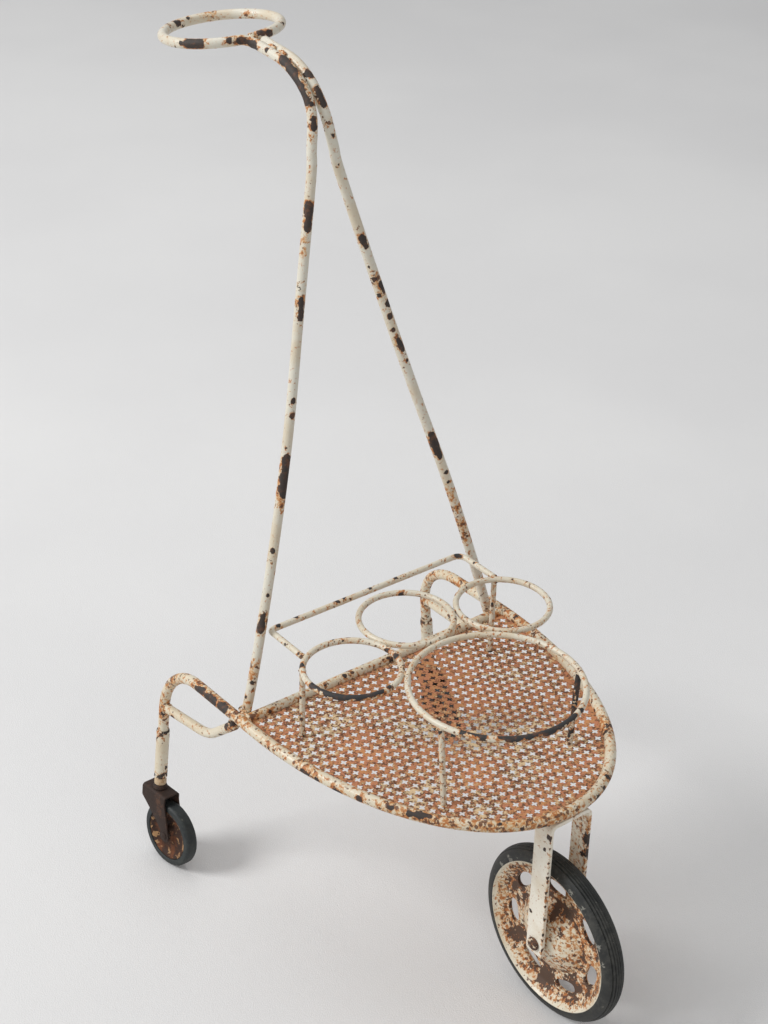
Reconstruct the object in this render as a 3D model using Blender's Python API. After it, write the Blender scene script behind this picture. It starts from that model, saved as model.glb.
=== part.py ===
"""Three-wheeled plant trolley of bent steel tube.

Metres, +Z up.  The floor is z = 0, the nose points to -Y, the handle is at +Y and the
left side is -X.  The frame is symmetric about x = 0.  Every separate piece is one object.
The pieces are laid out from the rear crossbar, on an empty that sets the trolley's origin
in the middle of its footprint.
"""
import math

import bmesh
import bpy
from mathutils import Matrix, Vector

# ---- driving dimensions ---------------------------------------------------------------
CROSSBAR_Y = 0.02404         # the crossbar's place behind the middle of the footprint
GAP = 0.0003                 # clearance between pieces that touch or are welded
RIM_TUBE = 0.0115            # tube of the tray rim and its rear legs
BAR_TUBE = 0.0110            # tube of the rear crossbar
POST_TUBE = 0.0106           # tube of the uprights and the handle
BRACE_TUBE = 0.0104
ROD = 0.0065                 # rod of the pot rings and their rail
STAND_ROD = 0.0060           # rod of the four posts under the rings
# each post: its ring, its place round that ring in degrees, and how far its foot stands off in X and Y
POSTS = (("post_rear_left", "left_ring", 144.0, -0.0005, 0.0000),
         ("post_rear_right", "right_ring", 60.0, -0.0095, -0.0100),
         ("post_front_left", "big_ring", 192.5, -0.0065, -0.0160),
         ("post_front_right", "big_ring", 340.5, -0.0110, -0.0060))

RIM_Z = 0.2477               # centre of the rim tube above the floor
RIM_HALF_WIDTH = 0.1690
RIM_LENGTH = 0.2925          # from the crossbar to the nose
RIM_POWER = 2.08             # a little fuller than an ellipse

LEG_Y = 0.1393               # the rear legs stand this far behind the crossbar
LEG_TOP_Z = 0.2430
LEG_BEND = 0.0600
LEG_FOOT_X = 0.1900          # swivel axis at the height of the caster's axle
LEG_SPLAY = 0.1000           # radians that each rear leg leans outward

BRACE_LEG_Z = 0.1865         # where the brace leaves the rear leg
BRACE_ELBOW_Y = 0.0626
BRACE_ELBOW_Z = 0.1927
BRACE_FRONT_Y = 0.0120
BRACE_BEND = 0.0500
BRACE_WELD = 0.0016          # room for the weld between the brace's square end and the leg

SHEET_THICK = 0.0008
SHEET_TOP_Z = 0.2470

RING_Z = 0.3262              # centre of the ring rods
SMALL_RING = 0.0475          # radii of the rings' centre lines
BIG_RING = 0.0845
BIG_RING_Y = -0.1817
RAIL_Y = 0.0195
RAIL_X = 0.1215
RAIL_SHARP_BEND = 0.0050
RAIL_WIDE_BEND = 0.0110

UPRIGHT_FOOT_Z = 0.2430
UPRIGHT_RISE = ((0.1400, 0.0155, 0.3050), (0.1085, 0.0294, 0.4135), (0.0755, 0.0500, 0.5240),
                (0.0458, 0.0734, 0.6345), (0.0170, 0.0953, 0.7450), (0.0125, 0.1004, 0.7715))
NECK_X = (POST_TUBE + GAP) / 2
# the neck's bend: how far it stands off from NECK_X, y and z
NECK_BEND = ((0.0026, 0.1054, 0.7975), (0.0003, 0.1137, 0.8145), (0.0, 0.1235, 0.8250),
             (0.0, 0.1377, 0.8345), (0.0, 0.1570, 0.8414))
NECK_END_Y = 0.1850
NECK_DROP = 0.0071           # the neck runs in below the plane of the handle ring
NECK_SLOPE = 0.110
RIGHT_NECK_END_Y = 0.2030
HANDLE_RADIUS = 0.0572
HANDLE_CENTRE = Vector((0.0, 0.2667, 0.8441))
HANDLE_FALL = 0.100          # the handle ring drops towards the rear
HANDLE_RISE = 0.060          # and rises a little towards the right
HANDLE_BEND = 0.0140

WHEEL_Y = -0.2850
WHEEL_RADIUS = 0.0920
TYRE_WIDTH = 0.0240
RIM_EDGE_RADIUS = 0.0793
RIM_EDGE_X = 0.0117
DISC_SHEET = 0.0015
DOME_RADIUS = 0.0440
DOME_HEIGHT = 0.0190
WEB_RADIUS = 0.0660          # end of the flat web
FLANGE = ((0.0700, 0.0050), (0.0770, 0.0095), (0.0780, RIM_EDGE_X), (RIM_EDGE_RADIUS, RIM_EDGE_X),
          (RIM_EDGE_RADIUS, 0.0085), (0.0712, 0.0033), (0.0680, GAP / 2))   # radius and X
TYRE_SEAT = ((RIM_EDGE_RADIUS + GAP, 0.0113), (RIM_EDGE_RADIUS + GAP, 0.0083), (0.0716, 0.0026))
TREAD_SWEEP = math.radians(196.0)
SLOT_COUNT = 7
SLOT_CENTRE = 0.0570
SLOT_HALF_LENGTH = 0.0110
SLOT_HALF_WIDTH = 0.0068
SLOT_START = math.radians(40.0)
BUSH_RADIUS = 0.0062
AXLE_RADIUS = 0.0040
AXLE_END = 0.0015            # the bolt's end stands out of the nut

FORK_INNER = 0.0220          # half the space between the fork legs
FORK_PLATE = 0.0040
FORK_WIDTH = 0.0220
FORK_BEND = 0.0080
FORK_FOOT = 0.0125           # length of the legs below the axle
BOLT_HEAD_RADIUS = 0.0070
BOLT_HEAD = 0.0040
NUT_RADIUS = 0.0078
NUT_LENGTH = 0.0060

CASTER_RADIUS = 0.0365
CASTER_TYRE_WIDTH = 0.0146
CASTER_SHOULDER = 0.0040
CASTER_RIM = 0.0285
CASTER_TRAIL = 0.0227
CASTER_REST_TURN = 0.12      # radians, each wheel turned a little inward
CASTER_AXLE = 0.0028
CASTER_BUSH = 0.0048
CASTER_PRESSING = ((0.0085, 0.0068), (0.0105, 0.0030), (0.0225, 0.0018), (0.0265, 0.0056),
                   (CASTER_RIM, 0.0062))   # radius and X of the disc's dished side
CHEEK_INNER = 0.0086
CHEEK_PLATE = 0.0020
CHEEK_BOSS = 0.0070
CHEEK_REAR = 0.0170          # reach of the fork's top behind the swivel axis
CHEEK_FRONT = 0.0200
CHEEK_SKIRT = 0.0140         # straight rear edge of each cheek
# heights along the swivel axis, above the caster's axle
FORK_CROWN = 0.0470
RACE_TOP = 0.0525
COLLAR_TOP = 0.0610
SLEEVE_BOTTOM = 0.0613
SLEEVE_TOP = 0.1215
STEM_DEPTH = 0.0300          # how far the leg goes into the sleeve
PIN_TOP = 0.0900
RACE_RADIUS = 0.0080
COLLAR_RADIUS = 0.0066
SLEEVE_RADIUS = 0.0071
PIN_RADIUS = 0.0045
PIN_HEAD = 0.0020            # thickness of the pin's head and the width of its lip
RACE_EDGE = 0.0022           # height of the race's straight edge
RACE_TAPER = 0.0024
COLLAR_LIP = 0.0050
COLLAR_STEP = 0.0008
RIVET_HEAD_RADIUS = 0.0042
RIVET_HEAD = 0.0014

ORIGIN = Vector((0.0, 0.0, 0.0))
AXIS_X = Vector((1.0, 0.0, 0.0))
AXIS_Z = Vector((0.0, 0.0, 1.0))
LEG_UP = Vector((math.sin(LEG_SPLAY), 0.0, math.cos(LEG_SPLAY)))
CASTER_AXLE_Z = ((CASTER_RADIUS - CASTER_SHOULDER) * math.cos(LEG_SPLAY)
                 + (CASTER_TYRE_WIDTH / 2 - CASTER_SHOULDER) * math.sin(LEG_SPLAY) + CASTER_SHOULDER
                 + CASTER_TRAIL * math.sin(CASTER_REST_TURN) * math.sin(LEG_SPLAY))
LEG_FOOT = Vector((-LEG_FOOT_X, LEG_Y, CASTER_AXLE_Z))


# ---- scene and materials --------------------------------------------------------------
def clear_scene():
    for item in list(bpy.data.objects):
        bpy.data.objects.remove(item, do_unlink=True)


def make_material(name, colour, roughness, metallic=0.0):
    material = bpy.data.materials.new(name)
    material.use_nodes = True
    shader = material.node_tree.nodes["Principled BSDF"]
    shader.inputs["Base Color"].default_value = (*colour, 1.0)
    shader.inputs["Roughness"].default_value = roughness
    shader.inputs["Metallic"].default_value = metallic
    return material


def place(item, parent=None):
    bpy.context.scene.collection.objects.link(item)
    item.parent = parent or bpy.data.objects["trolley"]
    return item


def make_layout_origin():
    """The empty that all pieces are laid out from: the middle of the rear crossbar, on the floor."""
    origin = bpy.data.objects.new("trolley", None)
    bpy.context.scene.collection.objects.link(origin)
    origin.location = (0.0, CROSSBAR_Y, 0.0)


def make_empty(name, location, turn=(0.0, 0.0, 0.0), parent=None):
    empty = place(bpy.data.objects.new(name, None), parent)
    empty.location = location
    empty.rotation_euler = turn
    return empty


# ---- paths ----------------------------------------------------------------------------
def corner_arc(before, corner, after, radius, step=math.radians(13.0)):
    """Points of the arc that rounds one corner of a path."""
    back = (before - corner).normalized()
    ahead = (after - corner).normalized()
    opening = back.angle(ahead)
    start = corner + back * (radius / math.tan(opening / 2))
    centre = corner + (back + ahead).normalized() * (radius / math.sin(opening / 2))
    sweep = math.pi - opening
    axis = ahead.cross(back).normalized()
    count = max(2, math.ceil(sweep / step))
    arm = start - centre
    return [centre + Matrix.Rotation(sweep * i / count, 3, axis) @ arm for i in range(count + 1)]


def bent_path(corners):
    """Straight runs joined by bends; each corner is (point, bend radius), the ends have none."""
    spots = [Vector(point) for point, _ in corners]
    path = [spots[0]]
    for i in range(1, len(spots) - 1):
        path += corner_arc(spots[i - 1], spots[i], spots[i + 1], corners[i][1])
    path.append(spots[-1])
    return path


def smooth_path(points, pieces):
    """A Catmull-Rom curve through the points."""
    spots = [Vector(point) for point in points]
    spots = [2 * spots[0] - spots[1]] + spots + [2 * spots[-1] - spots[-2]]
    path = []
    for a, b, c, d in zip(spots, spots[1:], spots[2:], spots[3:]):
        for i in range(pieces):
            t = i / pieces
            bend = (2 * a - 5 * b + 4 * c - d) * t * t + (3 * b - a - 3 * c + d) * t ** 3
            path.append(b + 0.5 * ((c - a) * t + bend))
    path.append(spots[-2])
    return path


def mirrored(points):
    return [Vector((-point[0], point[1], point[2])) for point in points]


def circle_path(centre, radius, count):
    turn = math.tau / count
    return [centre + Vector((math.cos(i * turn), math.sin(i * turn), 0.0)) * radius for i in range(count)]


# ---- solids ---------------------------------------------------------------------------
def make_tube(name, path, diameter, material, closed=False, bevel=3):
    """A round bar along a path, with flat ends."""
    curve = bpy.data.curves.new(name, "CURVE")
    curve.dimensions = "3D"
    curve.bevel_depth = diameter / 2
    curve.bevel_resolution = bevel
    curve.use_fill_caps = True
    spline = curve.splines.new("POLY")
    spline.points.add(len(path) - 1)
    for spot, point in zip(spline.points, path):
        spot.co = (*point, 1.0)
    spline.use_cyclic_u = closed
    spline.use_smooth = True
    curve.materials.append(material)
    return place(bpy.data.objects.new(name, curve))


def finish_mesh(name, bm, material, parent=None, smooth=True):
    bmesh.ops.recalc_face_normals(bm, faces=bm.faces)
    for face in bm.faces:
        face.smooth = smooth
    mesh = bpy.data.meshes.new(name)
    bm.to_mesh(mesh)
    bm.free()
    mesh.materials.append(material)
    return place(bpy.data.objects.new(name, mesh), parent)


def make_turned(name, profile, axis, material, steps, parent=None):
    """A turned solid from a profile of (radius, place along the axis).

    A profile that starts and ends on the axis makes a bar, any other is closed to a ring.
    """
    bm = bmesh.new()
    across = Vector((0.0, 1.0, 0.0))
    corners = [bm.verts.new(across * radius + axis * along) for radius, along in profile]
    pairs = list(zip(corners, corners[1:]))
    if profile[0][0] > 0.0:
        pairs.append((corners[-1], corners[0]))
    edges = [bm.edges.new(pair) for pair in pairs]
    bmesh.ops.spin(bm, geom=corners + edges, cent=ORIGIN, axis=axis, angle=math.tau, steps=steps,
                   use_merge=True)
    bmesh.ops.remove_doubles(bm, verts=bm.verts, dist=1e-6)
    return finish_mesh(name, bm, material, parent)


def raise_outline(bm, outline, offset):
    """Extrude a flat outline into a closed prism."""
    face = bm.faces.new([bm.verts.new(point) for point in outline])
    grown = bmesh.ops.extrude_face_region(bm, geom=[face])
    top = [item for item in grown["geom"] if isinstance(item, bmesh.types.BMVert)]
    bmesh.ops.translate(bm, verts=top, vec=offset)


def cut_holes(item, bm, name):
    """Subtract the solids of a mesh from an object with a Boolean modifier."""
    cutter = finish_mesh(name, bm, item.data.materials[0], item.parent)
    cutter.location = item.location
    cutter.hide_render = True
    cutter.display_type = "WIRE"
    modifier = item.modifiers.new("holes", "BOOLEAN")
    modifier.operation = "DIFFERENCE"
    modifier.solver = "EXACT"
    modifier.object = cutter


def add_drill(bm, centre, radius, half_length, sides=16):
    """A drill along X, in the middle of a hole."""
    spot = Matrix.Translation(centre) @ Matrix.Rotation(math.pi / 2, 4, "Y")
    bmesh.ops.create_cone(bm, cap_ends=True, segments=sides, radius1=radius, radius2=radius,
                          depth=2 * half_length, matrix=spot)


# ---- the tray frame -------------------------------------------------------------------
def rim_nose(count=44):
    """Centre line of the rim from the left end of the crossbar round the nose to the right."""
    points = []
    for i in range(count + 1):
        turn = math.pi * i / count
        across = math.copysign(abs(math.cos(turn)) ** (2 / RIM_POWER), -math.cos(turn))
        along = abs(math.sin(turn)) ** (2 / RIM_POWER)
        points.append(Vector((RIM_HALF_WIDTH * across, -RIM_LENGTH * along, RIM_Z)))
    return points


def leg_point(height):
    """A point on the left leg's axis, a height above the caster's axle along that axis."""
    return LEG_FOOT + LEG_UP * height


def leg_at(z):
    return leg_point((z - LEG_FOOT.z) / LEG_UP.z)


def make_rim(paint):
    """One tube: left leg, left side, nose, right side and right leg."""
    front = Vector((-RIM_HALF_WIDTH, 0.0, RIM_Z))
    leg = bent_path([(leg_point(SLEEVE_TOP - STEM_DEPTH), 0), (leg_at(LEG_TOP_Z), LEG_BEND), (front, 0)])
    path = leg[:-1] + rim_nose() + mirrored(leg[:-1])[::-1]
    make_tube("tray_rim", path, RIM_TUBE, paint)


def make_sheet(metal):
    """The flat sheet that fills the rim, up to the crossbar."""
    inset = RIM_TUBE / 2 + GAP
    rear = -(BAR_TUBE / 2 + GAP)
    line = rim_nose()
    outline = [Vector((-RIM_HALF_WIDTH + inset, rear, 0.0))]
    for before, point, after in zip(line, line[1:], line[2:]):
        along = (after - before).normalized()
        moved = point + Vector((-along.y, along.x, 0.0)) * inset
        if moved.y < rear - inset:
            outline.append(moved)
    outline.append(Vector((RIM_HALF_WIDTH - inset, rear, 0.0)))
    flat = [Vector((point.x, point.y, SHEET_TOP_Z - SHEET_THICK)) for point in outline]
    bm = bmesh.new()
    raise_outline(bm, flat, Vector((0.0, 0.0, SHEET_THICK)))
    finish_mesh("tray_sheet", bm, metal, smooth=False)


def make_crossbar(paint):
    reach = RIM_HALF_WIDTH - RIM_TUBE / 2 - GAP
    make_tube("rear_crossbar", [Vector((-reach, 0.0, RIM_Z)), Vector((reach, 0.0, RIM_Z))], BAR_TUBE, paint)


def make_braces(paint):
    """The lower bent tube of each side, from the leg forward and up to the rim's corner."""
    leg = leg_at(BRACE_LEG_Z)
    start = leg - Vector((0.0, RIM_TUBE / 2 + BRACE_WELD, 0.0))
    elbow = Vector((-RIM_HALF_WIDTH, BRACE_ELBOW_Y, BRACE_ELBOW_Z))
    end_z = RIM_Z - RIM_TUBE / 2 - BRACE_TUBE / 2 - GAP
    front = Vector((-RIM_HALF_WIDTH, BRACE_FRONT_Y, end_z))
    path = bent_path([(start, 0), (elbow, BRACE_BEND), (front, 0)])
    make_tube("left_brace", path, BRACE_TUBE, paint)
    make_tube("right_brace", mirrored(path), BRACE_TUBE, paint)


# ---- uprights and handle --------------------------------------------------------------
def handle_height(x, y):
    """Height of the handle ring's plane."""
    return (HANDLE_CENTRE.z - HANDLE_FALL * (y - HANDLE_CENTRE.y)
            + HANDLE_RISE * (x - HANDLE_CENTRE.x))


def upright_path(end_y):
    """Centre line of the left upright: up, inward and back, then over the neck to the rear."""
    foot_x = -(RIM_HALF_WIDTH - RIM_TUBE / 2 - POST_TUBE / 2 - GAP)
    foot_y = BAR_TUBE / 2 + POST_TUBE / 2 + GAP
    neck_z = handle_height(-NECK_X, NECK_END_Y) - NECK_DROP
    rise = [(foot_x, foot_y, UPRIGHT_FOOT_Z)] + mirrored(UPRIGHT_RISE)
    neck = [(-NECK_X - apart, y, z) for apart, y, z in NECK_BEND] + [(-NECK_X, NECK_END_Y, neck_z)]
    path = smooth_path(rise + neck, 3)
    if end_y > NECK_END_Y:
        path.append(Vector((-NECK_X, end_y, neck_z + NECK_SLOPE * (end_y - NECK_END_Y))))
    return path


def make_uprights(paint):
    make_tube("left_upright", upright_path(NECK_END_Y), POST_TUBE, paint)
    make_tube("right_upright", mirrored(upright_path(RIGHT_NECK_END_Y)), POST_TUBE, paint)


def make_handle(paint):
    """The open ring that carries on from the left upright and closes on the neck."""
    hub = Vector((-NECK_X - HANDLE_BEND, 0.0))
    reach = HANDLE_RADIUS + HANDLE_BEND
    hub.y = HANDLE_CENTRE.y - math.sqrt(reach ** 2 - hub.x ** 2)
    touch = math.atan2(hub.y - HANDLE_CENTRE.y, hub.x)
    plan = [Vector((-NECK_X, NECK_END_Y + 2 * GAP))]
    turn_steps = 5
    turn = math.pi + touch
    for i in range(turn_steps):
        angle = turn * i / turn_steps
        plan.append(hub + Vector((math.cos(angle), math.sin(angle))) * HANDLE_BEND)
    ring_steps = 30
    sweep = math.tau + touch + math.pi / 2
    for i in range(ring_steps + 1):
        angle = touch - sweep * i / ring_steps
        plan.append(HANDLE_CENTRE.xy + Vector((math.cos(angle), math.sin(angle))) * HANDLE_RADIUS)
    path = [Vector((spot.x, spot.y, handle_height(spot.x, spot.y))) for spot in plan]
    path[0].z -= NECK_DROP
    drop = path[1].z - path[0].z - NECK_SLOPE * (path[1].y - path[0].y)
    for i in range(1, turn_steps):
        share = (i - 1) / (turn_steps - 1)
        path[i].z -= drop * (1.0 + math.cos(math.pi * share)) / 2
    make_tube("handle_ring", path, POST_TUBE, paint)


# ---- the pot rings --------------------------------------------------------------------
def ring_layout():
    """Centre and radius of each of the four rings, which lie in one plane and touch."""
    near = BIG_RING + SMALL_RING + ROD + GAP
    side = 2 * SMALL_RING + ROD + GAP
    spread = 2 * math.asin(side / (2 * near))
    big = Vector((0.0, BIG_RING_Y, RING_Z))
    middle = big + Vector((0.0, near, 0.0))
    right = big + Vector((math.sin(spread), math.cos(spread), 0.0)) * near
    return {"big_ring": (big, BIG_RING), "middle_ring": (middle, SMALL_RING),
            "right_ring": (right, SMALL_RING), "left_ring": (mirrored([right])[0], SMALL_RING)}


def make_rings(paint):
    for name, (centre, radius) in ring_layout().items():
        count = 40 if radius > SMALL_RING else 26
        make_tube(name, circle_path(centre, radius, count), ROD, paint, closed=True, bevel=2)


def make_rail(paint):
    """The rod behind the rings, from one side ring round the rear to the other."""
    right = ring_layout()["right_ring"][0]
    outside = SMALL_RING + ROD / 2 + GAP
    end_y = right.y + math.sqrt(outside ** 2 - (RAIL_X - ROD / 2 - right.x) ** 2)
    corners = [((-RAIL_X, end_y, RING_Z), 0), ((-RAIL_X, RAIL_Y, RING_Z), RAIL_SHARP_BEND),
               ((RAIL_X, RAIL_Y, RING_Z), RAIL_WIDE_BEND), ((RAIL_X, end_y, RING_Z), 0)]
    make_tube("rack_rail", bent_path(corners), ROD, paint, bevel=2)


def make_stands(paint):
    """Four posts from the sheet to the rings; each foot stands a little off its top."""
    rings = ring_layout()
    for name, ring, degrees, lean_x, lean_y in POSTS:
        centre, radius = rings[ring]
        angle = math.radians(degrees)
        top = centre + Vector((math.cos(angle), math.sin(angle), 0.0)) * radius
        top.z = RING_Z - ROD / 2 - 2 * GAP
        foot = Vector((top.x + lean_x, top.y + lean_y, SHEET_TOP_Z + 2 * GAP))
        make_tube(name, [foot, top], STAND_ROD, paint, bevel=2)


# ---- front fork and wheel -------------------------------------------------------------
def make_fork(paint):
    """A flat bar bent to an inverted U under the nose, drilled for the axle bolt."""
    top_z = RIM_Z - RIM_TUBE / 2 - GAP
    foot_z = WHEEL_RADIUS - FORK_FOOT
    outer_x = FORK_INNER + FORK_PLATE
    rear = WHEEL_Y + FORK_WIDTH / 2
    outer = bent_path([((-outer_x, rear, foot_z), 0), ((-outer_x, rear, top_z), FORK_BEND),
                       ((outer_x, rear, top_z), FORK_BEND), ((outer_x, rear, foot_z), 0)])
    inner_top = top_z - FORK_PLATE
    inner_bend = FORK_BEND - FORK_PLATE
    inner = bent_path([((-FORK_INNER, rear, foot_z), 0), ((-FORK_INNER, rear, inner_top), inner_bend),
                       ((FORK_INNER, rear, inner_top), inner_bend), ((FORK_INNER, rear, foot_z), 0)])
    bm = bmesh.new()
    raise_outline(bm, outer + inner[::-1], Vector((0.0, -FORK_WIDTH, 0.0)))
    fork = finish_mesh("front_fork", bm, paint, smooth=False)
    drill = bmesh.new()
    add_drill(drill, Vector((0.0, WHEEL_Y, WHEEL_RADIUS)), AXLE_RADIUS + GAP, 2 * FORK_INNER)
    cut_holes(fork, drill, "fork_drill")


def disc_profile():
    """Half of the wheel disc: dome, flat web and rim flange, as a thin pressed sheet."""
    ball = (DOME_RADIUS ** 2 + DOME_HEIGHT ** 2) / (2 * DOME_HEIGHT)
    hole = BUSH_RADIUS + GAP
    outer = []
    for i in range(6):
        radius = hole + (DOME_RADIUS - hole) * i / 5
        outer.append((radius, DOME_HEIGHT - ball + math.sqrt(ball ** 2 - radius ** 2)))
    outer[-1] = (DOME_RADIUS, DISC_SHEET + GAP / 2)
    outer += [(WEB_RADIUS, DISC_SHEET + GAP / 2), *FLANGE, (DOME_RADIUS - 4 * GAP, GAP / 2)]
    inner = [(radius, along - DISC_SHEET) for radius, along in outer[4:0:-1]]
    return outer + inner + [(hole, outer[0][1] - DISC_SHEET)]


def make_front_wheel(paint, steel, rubber, hub):
    for side, name in ((-1.0, "front_disc_left"), (1.0, "front_disc_right")):
        profile = [(radius, side * along) for radius, along in disc_profile()]
        disc = make_turned(name, profile, AXIS_X, paint, 36, hub)
        slots = bmesh.new()
        for i in range(SLOT_COUNT):
            angle = SLOT_START + math.tau * i / SLOT_COUNT
            turn = Matrix.Rotation(angle, 4, "X") @ Matrix.Translation((0.0, SLOT_CENTRE, 0.0))
            shape = Matrix.Diagonal((1.0, SLOT_HALF_WIDTH, SLOT_HALF_LENGTH, 1.0))
            flat = Matrix.Rotation(math.pi / 2, 4, "Y")
            bmesh.ops.create_cone(slots, cap_ends=True, segments=10, radius1=1.0, radius2=1.0, depth=0.03,
                                  matrix=turn @ shape @ flat)
        cut_holes(disc, slots, name + "_slots")
    bore = AXLE_RADIUS + GAP
    half = FORK_INNER - 2 * GAP
    make_turned("front_bush", [(bore, -half), (BUSH_RADIUS, -half), (BUSH_RADIUS, half), (bore, half)],
                AXIS_X, steel, 16, hub)
    make_turned("front_tyre", tyre_profile(), AXIS_X, rubber, 44, hub)


def tyre_profile():
    """A solid tyre: a round tread over a wedge that sits in the rim channel."""
    half = TYRE_WIDTH / 2
    middle = WHEEL_RADIUS - half
    profile = []
    for i in range(1, 8):
        angle = TREAD_SWEEP * i / 8 - (TREAD_SWEEP - math.pi) / 2
        profile.append((middle + half * math.sin(angle), half * math.cos(angle)))
    left = [(radius, -along) for radius, along in TYRE_SEAT]
    return profile + left + list(TYRE_SEAT[::-1])


def make_front_axle(steel):
    """Bolt through both fork legs, with its nut on the right."""
    face = FORK_INNER + FORK_PLATE + GAP
    end = face + NUT_LENGTH + AXLE_END
    profile = [(0.0, -face - BOLT_HEAD), (BOLT_HEAD_RADIUS * 0.8, -face - BOLT_HEAD),
               (BOLT_HEAD_RADIUS, -face - BOLT_HEAD * 0.6), (BOLT_HEAD_RADIUS, -face), (AXLE_RADIUS, -face),
               (AXLE_RADIUS, end), (0.0, end)]
    centre = Vector((0.0, WHEEL_Y, WHEEL_RADIUS))
    bolt = make_turned("front_axle_bolt", profile, AXIS_X, steel, 16)
    bolt.location = centre
    sides = 6
    bore = (AXLE_RADIUS + GAP) / math.cos(math.pi / sides)
    ring = [(bore, face), (NUT_RADIUS, face), (NUT_RADIUS, face + NUT_LENGTH), (bore, face + NUT_LENGTH)]
    nut = make_turned("front_axle_nut", ring, AXIS_X, steel, sides)
    nut.location = centre


# ---- casters --------------------------------------------------------------------------
def make_sleeve(name, steel, stem):
    """The wider tube over the end of a rear leg."""
    bore = RIM_TUBE / 2 + GAP
    chamfer = 0.0008
    ring = [(bore, SLEEVE_BOTTOM), (SLEEVE_RADIUS, SLEEVE_BOTTOM), (SLEEVE_RADIUS, SLEEVE_TOP - chamfer),
            (SLEEVE_RADIUS - chamfer, SLEEVE_TOP), (bore, SLEEVE_TOP)]
    make_turned(name, ring, AXIS_Z, steel, 16, stem)


def cheek_outline(x):
    """Side of a caster fork: a square shoulder that tapers to a round end at the axle."""
    crown = FORK_CROWN
    axle = Vector((0.0, -CASTER_TRAIL, 0.0))
    points = [(x, CHEEK_REAR, crown), (x, CHEEK_REAR, crown - CHEEK_SKIRT)]
    for i in range(8):
        angle = math.radians(30.0 - 210.0 * i / 7)
        points.append((x, axle.y + CHEEK_BOSS * math.cos(angle), axle.z + CHEEK_BOSS * math.sin(angle)))
    points += [(x, -CHEEK_FRONT, crown - CHEEK_SKIRT * 0.6), (x, -CHEEK_FRONT, crown)]
    return [Vector(point) for point in points]


def make_caster_fork(name, steel, swivel):
    """A pressed horn: two tapering cheeks under a square crown, one piece of sheet."""
    outer = CHEEK_INNER + CHEEK_PLATE
    bm = bmesh.new()
    raise_outline(bm, cheek_outline(-outer), Vector((2 * outer, 0.0, 0.0)))
    fork = finish_mesh(name, bm, steel, swivel, smooth=False)
    hollow = bmesh.new()
    low = -2 * CHEEK_BOSS
    high = FORK_CROWN - CHEEK_PLATE
    size = (2 * CHEEK_INNER, 4 * CHEEK_FRONT, high - low)
    middle = Matrix.Translation((0.0, -CASTER_TRAIL / 2, (high + low) / 2))
    bmesh.ops.create_cube(hollow, size=1.0, matrix=middle @ Matrix.Diagonal((*size, 1.0)))
    cut_holes(fork, hollow, name + "_hollow")
    drill = bmesh.new()
    add_drill(drill, Vector((0.0, -CASTER_TRAIL, 0.0)), CASTER_AXLE + GAP, 2 * outer)
    cut_holes(fork, drill, name + "_drill")
    pin = bmesh.new()
    bmesh.ops.create_cone(pin, cap_ends=True, segments=16, radius1=PIN_RADIUS + GAP, radius2=PIN_RADIUS + GAP,
                          depth=4 * CHEEK_PLATE, matrix=Matrix.Translation((0.0, 0.0, FORK_CROWN)))
    cut_holes(fork, pin, name + "_pin_hole")


def make_caster_head(side, steel, brass, swivel):
    """Ball race, collar and king pin, on the swivel axis above the fork."""
    bore = PIN_RADIUS + GAP
    low = FORK_CROWN + GAP
    race = [(bore, low), (RACE_RADIUS, low), (RACE_RADIUS, low + RACE_EDGE),
            (RACE_RADIUS - RACE_TAPER, RACE_TOP), (bore, RACE_TOP)]
    make_turned(side + "_caster_race", race, AXIS_Z, steel, 16, swivel)
    low = RACE_TOP + GAP
    neck = COLLAR_RADIUS - COLLAR_STEP
    collar = [(bore, low), (COLLAR_RADIUS, low), (COLLAR_RADIUS, low + COLLAR_LIP), (neck, low + COLLAR_LIP),
              (neck, COLLAR_TOP), (bore, COLLAR_TOP)]
    make_turned(side + "_caster_collar", collar, AXIS_Z, brass, 16, swivel)
    head = FORK_CROWN - CHEEK_PLATE - GAP
    pin = [(0.0, head - PIN_HEAD), (PIN_RADIUS + PIN_HEAD, head - PIN_HEAD), (PIN_RADIUS + PIN_HEAD, head),
           (PIN_RADIUS, head), (PIN_RADIUS, PIN_TOP), (0.0, PIN_TOP)]
    make_turned(side + "_caster_pin", pin, AXIS_Z, steel, 12, swivel)


def make_caster_wheel(side, steel, rubber, roll):
    """Pressed disc with a solid tyre, on a bush."""
    bore = CASTER_BUSH + GAP
    half = CHEEK_INNER - 3 * GAP
    right_side = [(bore, CASTER_PRESSING[0][1]), *CASTER_PRESSING]
    left_side = [(radius, -along) for radius, along in right_side]
    make_turned(side + "_caster_disc", left_side + right_side[::-1], AXIS_X, steel, 24, roll)
    inner = CASTER_RIM + GAP
    wide = CASTER_TYRE_WIDTH / 2
    tyre = [(inner, wide)]
    for centre, start in ((wide - CASTER_SHOULDER, 0.0), (CASTER_SHOULDER - wide, 90.0)):
        for i in range(3):
            angle = math.radians(start + 45.0 * i)
            tyre.append((CASTER_RADIUS - CASTER_SHOULDER + CASTER_SHOULDER * math.sin(angle),
                         centre + CASTER_SHOULDER * math.cos(angle)))
    tyre.append((inner, -wide))
    make_turned(side + "_caster_tyre", tyre, AXIS_X, rubber, 32, roll)
    hole = CASTER_AXLE + GAP
    bush = [(hole, -half), (CASTER_BUSH, -half), (CASTER_BUSH, half), (hole, half)]
    make_turned(side + "_caster_bush", bush, AXIS_X, steel, 12, roll)


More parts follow.
